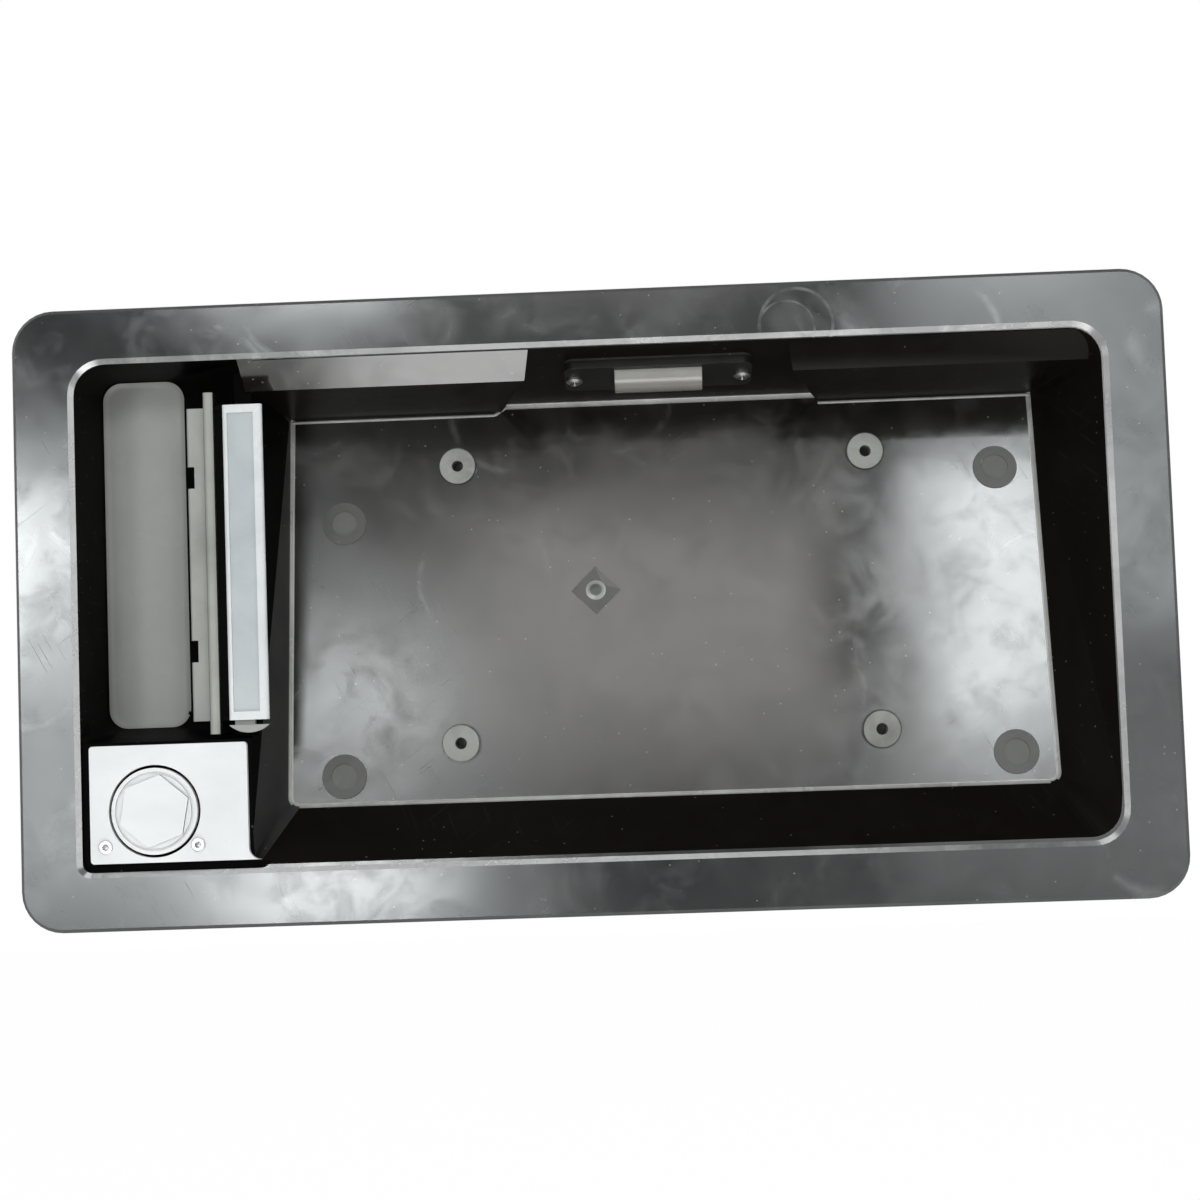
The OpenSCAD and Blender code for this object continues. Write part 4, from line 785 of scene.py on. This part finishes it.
def housing_finish(polygon):
    x, y, z = polygon.center
    in_finger = x < FINGER_RIGHT
    lift = FLOOR_AT + z * FLOOR_TILT - y
    leaning = polygon.normal.dot(FLOOR_NORMAL)
    if y < FLANGE_BACK:
        return flange_finish(polygon)
    found = finger_finish(polygon) if in_finger else None
    if found is None:
        found = mark_finish(polygon, lift, leaning)
    if found is None and not in_finger:
        found = plate_floor_finish(polygon, lift, leaning)
    return wall_finish(polygon, in_finger) if found is None else found


# %% Housing
HOUSING_ROUND_MM = 0.6
housing = rounded("housing", HOUSING_ROUND_MM, "housing", "black_plastic", flange_black, pocket_black,
                  finger_grey, mark_grey, wall_black, painted_shade_black, back_black_lightened, highlight_line_grey, rim_highlight_grey, ring_black)
for polygon in housing.data.polygons:
    polygon.material_index = housing_finish(polygon)
keep_edges_sharp(housing.data, lambda face: face.material_index == GLOSS and face.center.z > BROW_LOW)
print("finishes on the housing", len({polygon.material_index for polygon in housing.data.polygons}))

# %% [markdown]
# ## The handle
# The pull handle is one casting: a bar with a grey panel in a silver rim, a dull finger lip at its left, and
# dark sides, with painted shade in the groove between lip and bar. Two-tone pieces are often painted with a
# mask;
# here the panel is its own flat face, so sorting faces by place is enough.

# %% Handle
HANDLE_ROUND_MM = 0.3
handle = rounded("handle_lever", HANDLE_ROUND_MM, "handle", "bright_metal", rim_silver, panel_grey,
                 paddle_grey, trim_black, painted_shade_black)
BAR_RIM, PANEL, PADDLE, TRIM, HANDLE_SHADE = range(5)
PANEL_X, PANEL_Y, PANEL_FLAT = (-0.1478, -0.1370), -0.0032, 0.0001
BAR_LEFT, BAR_BACK, BAR_TAIL = -0.1500, -0.0008, -0.0412
LIP_RIGHT = -0.1528
FULL_FACING, HALF_FACING = 0.9, 0.5


def handle_finish(polygon):
    x, y, z = polygon.center
    facing = -polygon.normal.y
    if PANEL_X[0] < x < PANEL_X[1] and abs(y - PANEL_Y) < PANEL_FLAT and facing > FULL_FACING:
        return PANEL
    if x < LIP_RIGHT:
        return PADDLE if facing > HALF_FACING else TRIM
    # The groove between lip and bar takes painted shade.
    if x < BAR_LEFT:
        return HANDLE_SHADE
    if polygon.normal.z < -HALF_FACING or z < BAR_TAIL:
        return PADDLE
    return TRIM if y > BAR_BACK else BAR_RIM


for polygon in handle.data.polygons:
    polygon.material_index = handle_finish(polygon)
print("panel faces", sum(polygon.material_index == PANEL for polygon in handle.data.polygons))

# %% [markdown]
# ## The lock plug
# The plug is as bright as its cover, and the sides of its raised hexagon are painted near-black as painted
# shade, so they show as thin dark lines.
# The hexagon's corners come within a tenth of a millimetre of the ring groove, so the rounding is very small.
# The narrow flat face between them stays in triangles, because one face with such a notch fills badly, and
# flat faces keep sharp edges, so that none is shaded as if it were bent.

# %% Lock plug
PLUG_ROUND_MM = 0.12
PLUG_FACE, HEXAGON_SIDE_SHADE = range(2)
plug = rounded("lock_plug", PLUG_ROUND_MM, "housing", "bright_metal", pad_silver, painted_shade_black, join=None)
HEXAGON_RISE, FLAT_FACING = 0.00078, 0.95
hexagon_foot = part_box("lock_plug")[0].y + HEXAGON_RISE
keep_edges_sharp(plug.data, lambda face: -face.normal.y > FLAT_FACING)
# The hexagon's sides take painted shade.
for polygon in plug.data.polygons:
    if -polygon.normal.y <= FLAT_FACING and polygon.center.y < hexagon_foot:
        polygon.material_index = HEXAGON_SIDE_SHADE
print("plug faces", sum(polygon.material_index == PLUG_FACE for polygon in plug.data.polygons))

# %% [markdown]
# ## Shapes that repeat or follow a path
# Threads, rivets, cross recesses, grip ribs and the spring's wire are each one rule repeated. A geometry tree
# states the rule once, with named sizes, and is then turned into a plain mesh that rides its body. Cutting
# every turn into the CAD would cost far more faces for the same look.

# %% Geometry tree helpers
QUARTER = math.pi / 2


def shape_tree(name, sizes):
    tree = bpy.data.node_groups.new(name, "GeometryNodeTree")
    tree.interface.new_socket("Geometry", in_out="INPUT", socket_type="NodeSocketGeometry")
    for label, value in sizes.items():
        kind = "NodeSocketInt" if isinstance(value, int) else "NodeSocketFloat"
        tree.interface.new_socket(label, in_out="INPUT", socket_type=kind).default_value = value
    tree.interface.new_socket("Material", in_out="INPUT", socket_type="NodeSocketMaterial")
    tree.interface.new_socket("Geometry", in_out="OUTPUT", socket_type="NodeSocketGeometry")
    return tree, put(tree, "NodeGroupInput").outputs


def joined(tree, *shapes):
    made = put(tree, "GeometryNodeJoinGeometry")
    for shape in shapes:
        tree.links.new(shape, made.inputs[0])
    return made.outputs[0]


def moved(tree, shape, place=(0, 0, 0), turn=(0, 0, 0)):
    inputs = {"Geometry": shape, "Translation": place, "Rotation": turn}
    return put(tree, "GeometryNodeTransform", inputs).outputs[0]


def along_z(tree, distance):
    return put(tree, "ShaderNodeCombineXYZ", {2: distance}).outputs[0]


def on_points(tree, points, shape, turn=(0, 0, 0)):
    inputs = {"Points": points, "Instance": shape, "Rotation": turn}
    return put(tree, "GeometryNodeInstanceOnPoints", inputs).outputs[0]


def close_tree(tree, given, shape):
    real = put(tree, "GeometryNodeRealizeInstances", {"Geometry": shape}).outputs[0]
    dressed = put(tree, "GeometryNodeSetMaterial", {"Geometry": real, "Material": given["Material"]})
    put(tree, "NodeGroupOutput", {"Geometry": dressed.outputs[0]})


# %% Sources for the trees
def point_mesh(name, points):
    mesh = bpy.data.meshes.new(name)
    mesh.from_pydata(points, [], [])
    return mesh


def path_curve(name, points):
    curve = bpy.data.curves.new(name, "CURVE")
    curve.dimensions = "3D"
    spline = curve.splines.new("POLY")
    spline.points.add(len(points) - 1)
    for point, spot in zip(spline.points, points):
        point.co = (*spot, 1.0)
    return curve


# %% From a tree to a piece
def grow(name, source, tree, finish, sizes, node=None, rides=True):
    seed = link(bpy.data.objects.new(name + "_seed", source))
    shape = seed.modifiers.new("shape", "NODES")
    shape.node_group = tree
    wanted = {**sizes, "Material": finish}
    for item in tree.interface.items_tree:
        if item.in_out == "INPUT" and item.name in wanted:
            shape[item.identifier] = wanted[item.name]
    mesh = evaluated_mesh(seed)
    seed.modifiers.clear()
    bpy.data.objects.remove(seed)
    mesh.materials.clear()
    mesh.materials.append(finish)
    for polygon in mesh.polygons:
        polygon.material_index = 0
        polygon.use_smooth = True
    mesh.set_sharp_from_angle(angle=SHARP)
    piece = link(bpy.data.objects.new(name, mesh))
    if rides:
        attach(piece, "housing")
    if node:
        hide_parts(node)
    print(name, "faces", len(mesh.polygons))
    return piece


# %% [markdown]
# ## Threads on the studs
# A thread is a cylinder whose radius rises and falls with height and angle together. A ping-pong of that
# phase gives the flanks, so the surface stays in one piece, which a swept ridge laid over a bolt would not.

# %% Thread tree
STUD_LENGTH, STUD_REACH, STUD_SIDES = 0.018, 0.008, 24
RINGS_PER_TURN, TIP_SHARE = 6.0, 0.85
threads, given = shape_tree("stud_threads", {"Root": 0.0024, "Depth": 0.00055, "Pitch": 0.001,
                                             "Length": STUD_LENGTH, "Shank": 0.0036, "Sunk": 0.010})
turns = maths(threads, "DIVIDE", given["Length"], given["Pitch"])
bar = put(threads, "GeometryNodeMeshCylinder", {
    "Vertices": STUD_SIDES, "Side Segments": maths(threads, "MULTIPLY", turns, RINGS_PER_TURN),
    "Radius": given["Root"], "Depth": given["Length"]})
at = put(threads, "ShaderNodeSeparateXYZ", {0: put(threads, "GeometryNodeInputPosition").outputs[0]}).outputs
angle = maths(threads, "DIVIDE", maths(threads, "ARCTAN2", at["Y"], at["X"]), 2 * math.pi)
phase = maths(threads, "SUBTRACT", maths(threads, "DIVIDE", at["Z"], given["Pitch"]), angle)
flank = maths(threads, "MULTIPLY", maths(threads, "PINGPONG", phase, 0.5), 2.0)
thread_radius = maths(threads, "ADD", maths(threads, "MULTIPLY", flank, given["Depth"]), given["Root"])
half_length = maths(threads, "MULTIPLY", given["Length"], 0.5)
to_tip = maths(threads, "SUBTRACT", half_length, at["Z"])
tip_radius = maths(threads, "ADD", to_tip, maths(threads, "MULTIPLY", given["Root"], TIP_SHARE))
factor = maths(threads, "DIVIDE", maths(threads, "MINIMUM", thread_radius, tip_radius), given["Root"])
spot = put(threads, "ShaderNodeCombineXYZ", {0: maths(threads, "MULTIPLY", at["X"], factor),
                                             1: maths(threads, "MULTIPLY", at["Y"], factor), 2: at["Z"]})
cut = put(threads, "GeometryNodeSetPosition", {"Geometry": bar.outputs["Mesh"], "Position": spot.outputs[0]})
shank = put(threads, "GeometryNodeMeshCylinder", {"Vertices": STUD_SIDES, "Radius": given["Shank"],
                                                  "Depth": given["Sunk"]})
half_down = maths(threads, "MULTIPLY", given["Sunk"], -0.5)
stud = joined(threads, moved(threads, cut.outputs[0], along_z(threads, half_length)),
              moved(threads, shank.outputs["Mesh"], along_z(threads, half_down)))
close_tree(threads, given, on_points(threads, given["Geometry"], stud, (-QUARTER, 0, 0)))

# %% Threaded studs
stud_points = [v.co for v in nodes["mounting_studs"].data.vertices]
stud_roots = []
for x, z in MARKS:
    tip_y = max(p.y for p in stud_points if math.hypot(p.x - x, p.z - z) < STUD_REACH)
    stud_roots.append((x, tip_y - STUD_LENGTH, z))
grow("stud_threads", point_mesh("stud_roots", stud_roots), threads, zinc, {"Length": STUD_LENGTH},
     "mounting_studs")

# %% [markdown]
# ## Rivets of the lock cover
# Each tubular rivet is three rings: a rounded head, a tube and a rolled back. A rounded rectangle swept round
# a circle makes one ring, so one rule serves all three, where turned profiles would need three drawings.

# %% Rivet tree
RIVET_HEAD = 0.0029
RING_STEPS, ROUND_STEPS = 32, 3
eyelets, given = shape_tree("eyelets", {"Bore": 0.001, "Head": RIVET_HEAD, "Thick": 0.0008, "Tube": 0.0016,
                                        "Back": 0.0025, "Length": 0.0071, "Round": 0.0003})


def swept_ring(tree, given, outer, height, middle):
    width = maths(tree, "SUBTRACT", outer, given["Bore"])
    radius = maths(tree, "MULTIPLY_ADD", width, 0.5)
    tree.links.new(given["Bore"], radius.node.inputs[2])
    path = put(tree, "GeometryNodeCurvePrimitiveCircle", {"Resolution": RING_STEPS, "Radius": radius})
    section = put(tree, "GeometryNodeCurvePrimitiveQuadrilateral", {"Width": width, "Height": height})
    soft = put(tree, "GeometryNodeFilletCurve", {
        "Curve": section.outputs[0], "Radius": given["Round"], "Count": ROUND_STEPS, "Limit Radius": True},
        mode="POLY")
    ring = put(tree, "GeometryNodeCurveToMesh", {"Curve": path.outputs[0], "Profile Curve": soft.outputs[0]})
    return moved(tree, ring.outputs[0], along_z(tree, middle))


half_thick = maths(eyelets, "MULTIPLY", given["Thick"], 0.5)
half_length = maths(eyelets, "MULTIPLY", given["Length"], 0.5)
back_middle = maths(eyelets, "SUBTRACT", given["Length"], half_thick)
rivet = joined(eyelets, swept_ring(eyelets, given, given["Head"], given["Thick"], half_thick),
               swept_ring(eyelets, given, given["Tube"], given["Length"], half_length),
               swept_ring(eyelets, given, given["Back"], given["Thick"], back_middle))
close_tree(eyelets, given, on_points(eyelets, given["Geometry"], rivet, (-QUARTER, 0, 0)))

# %% Eyelet rivets
rivet_low, rivet_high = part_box("cover_rivets")
rivet_z = (rivet_low.z + rivet_high.z) / 2
rivet_spots = [(x, rivet_low.y, rivet_z) for x in (rivet_low.x + RIVET_HEAD, rivet_high.x - RIVET_HEAD)]
grow("rivet_eyelets", point_mesh("rivet_spots", rivet_spots), eyelets, zinc,
     {"Length": rivet_high.y - rivet_low.y, "Head": RIVET_HEAD}, "cover_rivets")

# %% [markdown]
# ## Cross recesses of the lamp screws
# The recess is the same small cross at both heads, so a tree places it there and cuts it out of the CAD copy.
# A bump map would not show the dark slot from the side.

# %% Cross tree
crosses, given = shape_tree("cross_recess", {"Long": 0.0040, "Wide": 0.0009, "Deep": 0.0024, "Left": -0.005,
                                             "Right": 0.066, "Along": 0.0, "Up": 0.0, "Tilt": 0.2})
arms = []
for long_way, wide_way in ((0, 1), (1, 0)):
    arm_size = put(crosses, "ShaderNodeCombineXYZ", {long_way: given["Long"], wide_way: given["Wide"],
                                                     2: given["Deep"]})
    arms.append(put(crosses, "GeometryNodeMeshCube", {"Size": arm_size.outputs[0]}).outputs["Mesh"])
cutters = []
tilted = put(crosses, "ShaderNodeCombineXYZ", {0: given["Tilt"]})
for side in ("Left", "Right"):
    place = put(crosses, "ShaderNodeCombineXYZ", {0: given[side], 1: given["Along"], 2: given["Up"]})
    for arm in arms:
        cutters.append(moved(crosses, arm, place.outputs[0], tilted.outputs[0]))
carved = put(crosses, "GeometryNodeMeshBoolean", {"Mesh 1": given["Geometry"]}, operation="DIFFERENCE",
             solver="EXACT")
for cutter in cutters:
    crosses.links.new(cutter, carved.inputs["Mesh 2"])
close_tree(crosses, given, carved.outputs[0])

# %% Cross-recess screws
LAMP_SLOPE = 0.2102
LAMP_TILT = math.atan(LAMP_SLOPE)
HEAD_FLAT = 0.00005


def halfway(values):
    return (min(values) + max(values)) / 2


screw_axis = Vector((0.0, -math.sin(LAMP_TILT), -math.cos(LAMP_TILT)))
screw_points = [v.co for v in nodes["lamp_screws"].data.vertices]
furthest = max(p.dot(screw_axis) for p in screw_points)
head_points = [p for p in screw_points if furthest - p.dot(screw_axis) < HEAD_FLAT]
middle_x = sum(p.x for p in head_points) / len(head_points)
head = {"Left": halfway([p.x for p in head_points if p.x < middle_x]),
        "Right": halfway([p.x for p in head_points if p.x > middle_x]),
        "Along": halfway([p.y for p in head_points]), "Up": halfway([p.z for p in head_points]),
        "Tilt": -LAMP_TILT}
grow("lamp_screw_heads", merged("lamp_screws"), crosses, dull_zinc, head, "lamp_screws")

# %% [markdown]
# ## The return spring's wire
# The CAD spring is a chain of short straight pieces. Here the same path is drawn as a curve and a round
# section is swept along it, which gives a smooth wire. Its lower leg presses on the lever and its upper leg
# on the housing; the wire is baked in place and attached to neither body.

# %% Wire tree
SPRING_WIRE = 0.0005
wires, given = shape_tree("wire_on_path", {"Wire": SPRING_WIRE, "Steps": 420, "Sides": 10})
even = put(wires, "GeometryNodeResampleCurve", {"Curve": given["Geometry"], "Count": given["Steps"]})
section = put(wires, "GeometryNodeCurvePrimitiveCircle", {"Resolution": given["Sides"],
                                                          "Radius": given["Wire"]})
swept = put(wires, "GeometryNodeCurveToMesh", {"Curve": even.outputs[0], "Profile Curve": section.outputs[0],
                                               "Fill Caps": True})
close_tree(wires, given, swept.outputs[0])

# %% Spring wire
PIVOT = Vector((-0.144, 0.003, 0.0))
COIL_RADIUS, COIL_PITCH, COIL_TURNS, COIL_START = 0.0032, 0.0013, 9, 0.00025
COIL_STEPS = 32
LEVER_LEG, HOUSING_LEG = -0.0034, 0.0044
coil_end = COIL_START + COIL_TURNS * COIL_PITCH
route = [(COIL_RADIUS, LEVER_LEG, COIL_START)]
for step in range(COIL_TURNS * COIL_STEPS + 1):
    turned = 2 * math.pi * step / COIL_STEPS
    route.append((COIL_RADIUS * math.cos(turned), COIL_RADIUS * math.sin(turned),
                  COIL_START + step * COIL_PITCH / COIL_STEPS))
route.append((COIL_RADIUS, HOUSING_LEG, coil_end))
spring_path = path_curve("spring_path", [PIVOT + Vector(spot) for spot in route])
spring = grow("spring_wire", spring_path, wires, zinc, {"Wire": SPRING_WIRE}, "handle_spring",
              rides=False)
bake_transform(spring)

# %% [markdown]
# ## Bead round the plate floor
# A thin moulded bead runs up the left edge of the floor and along its top. Its pale grey is a painted
# highlight, the pale line that light on it makes. A painted line would stay flat; the spring's wire tree,
# half sunk in the floor, gives it real height.

# %% Floor bead
BEAD_SIZES = {"Wire": 0.0007, "Steps": 240}
BEAD_LEFT, BEAD_LOW, BEAD_TOP = -0.1317, -0.0812, 0.0866
STEP_FROM, STEP_TO, BEAD_STEP = -0.042, -0.036, 0.0906
RIGHT_FROM, RIGHT_TO, BEAD_RIGHT = 0.100, 0.1925, 0.0868


def on_floor(x, z):
    return (x, FLOOR_AT + z * FLOOR_TILT, z)


left_bead = [on_floor(BEAD_LEFT, BEAD_LOW), on_floor(BEAD_LEFT, BEAD_TOP),
             on_floor(STEP_FROM, BEAD_TOP), on_floor(STEP_TO, BEAD_STEP)]
right_bead = [on_floor(RIGHT_FROM, BEAD_RIGHT), on_floor(RIGHT_TO, BEAD_RIGHT)]
for name, points in (("floor_bead_left", left_bead), ("floor_bead_right", right_bead)):
    grow(name, path_curve(name, points), wires, highlight_line_grey, BEAD_SIZES)

# %% [markdown]
# ## Grip ribs of the bulb holder
# The holder is turned by hand, so its cap has ribs all round. One rib is set on the points of a circle, which
# keeps their number a single value.

# %% Grip ribs
RIB_COUNT, RIB_SIDES = 22, 10
LAMP_SPOT = (0.03025, 0.0215, 0.09892)
ribs, given = shape_tree("grip_ribs", {"Count": RIB_COUNT, "Ring": 0.0086, "Rib": 0.0006, "Height": 0.012,
                                       "Lift": 0.015})
circle = put(ribs, "GeometryNodeCurvePrimitiveCircle", {"Resolution": given["Count"],
                                                        "Radius": given["Ring"]})
spots = put(ribs, "GeometryNodeCurveToPoints", {"Curve": circle.outputs[0]}, mode="EVALUATED")
rib = put(ribs, "GeometryNodeMeshCylinder", {"Vertices": RIB_SIDES, "Radius": given["Rib"],
                                             "Depth": given["Height"]})
crown = on_points(ribs, spots.outputs["Points"], rib.outputs["Mesh"])
lifted = moved(ribs, crown, along_z(ribs, given["Lift"]))
close_tree(ribs, given, on_points(ribs, given["Geometry"], lifted, (-LAMP_TILT, 0, 0)))
grow("holder_ribs", point_mesh("holder_spot", [LAMP_SPOT]), ribs, dark_nylon, {"Count": RIB_COUNT})

# %% [markdown]
# ## The remaining pieces
# Pressed, moulded and cut pieces that are seen get rounded edges as the housing does. Pins, clips, gaskets
# and glass are round or hidden already, so their CAD nodes only take a finish, which costs no copy.

# %% Rounded small pieces: node, radius in millimetres, body, slot and finish
for name, radius, body, slot, finish in (
    ("lock_cover", 0.35, "housing", "bright_metal", pad_silver),
    ("lamp_base", 0.4, "housing", "black_plastic", trim_black),
    ("plate_nuts", 0.3, "housing", "white_nylon", aged_nylon),
    ("bulb_holder", 0.4, "housing", "dark_nylon", dark_nylon),
    ("bell_crank", 0.3, "crank", "passivated_steel", passivated),
    ("arm_bumper", 0.5, "housing", "foam", rubber),
):
    rounded(name, radius, body, slot, finish)

# %% CAD nodes with their finishes
for name, finish in {
    "flange_gasket": foam, "lamp_lens": clear, "lamp_gasket": rubber,
    "holder_seal": seal, "lamp_bulb": glass, "lamp_terminals": brass,
    "plug_clip": zinc, "handle_pin": zinc, "pin_clip": zinc,
    "crank_stud": zinc, "crank_washer": white_nylon, "crank_screw": zinc, "rod_clip": white_nylon,
}.items():
    nodes[name].data.materials.clear()
    nodes[name].data.materials.append(finish)
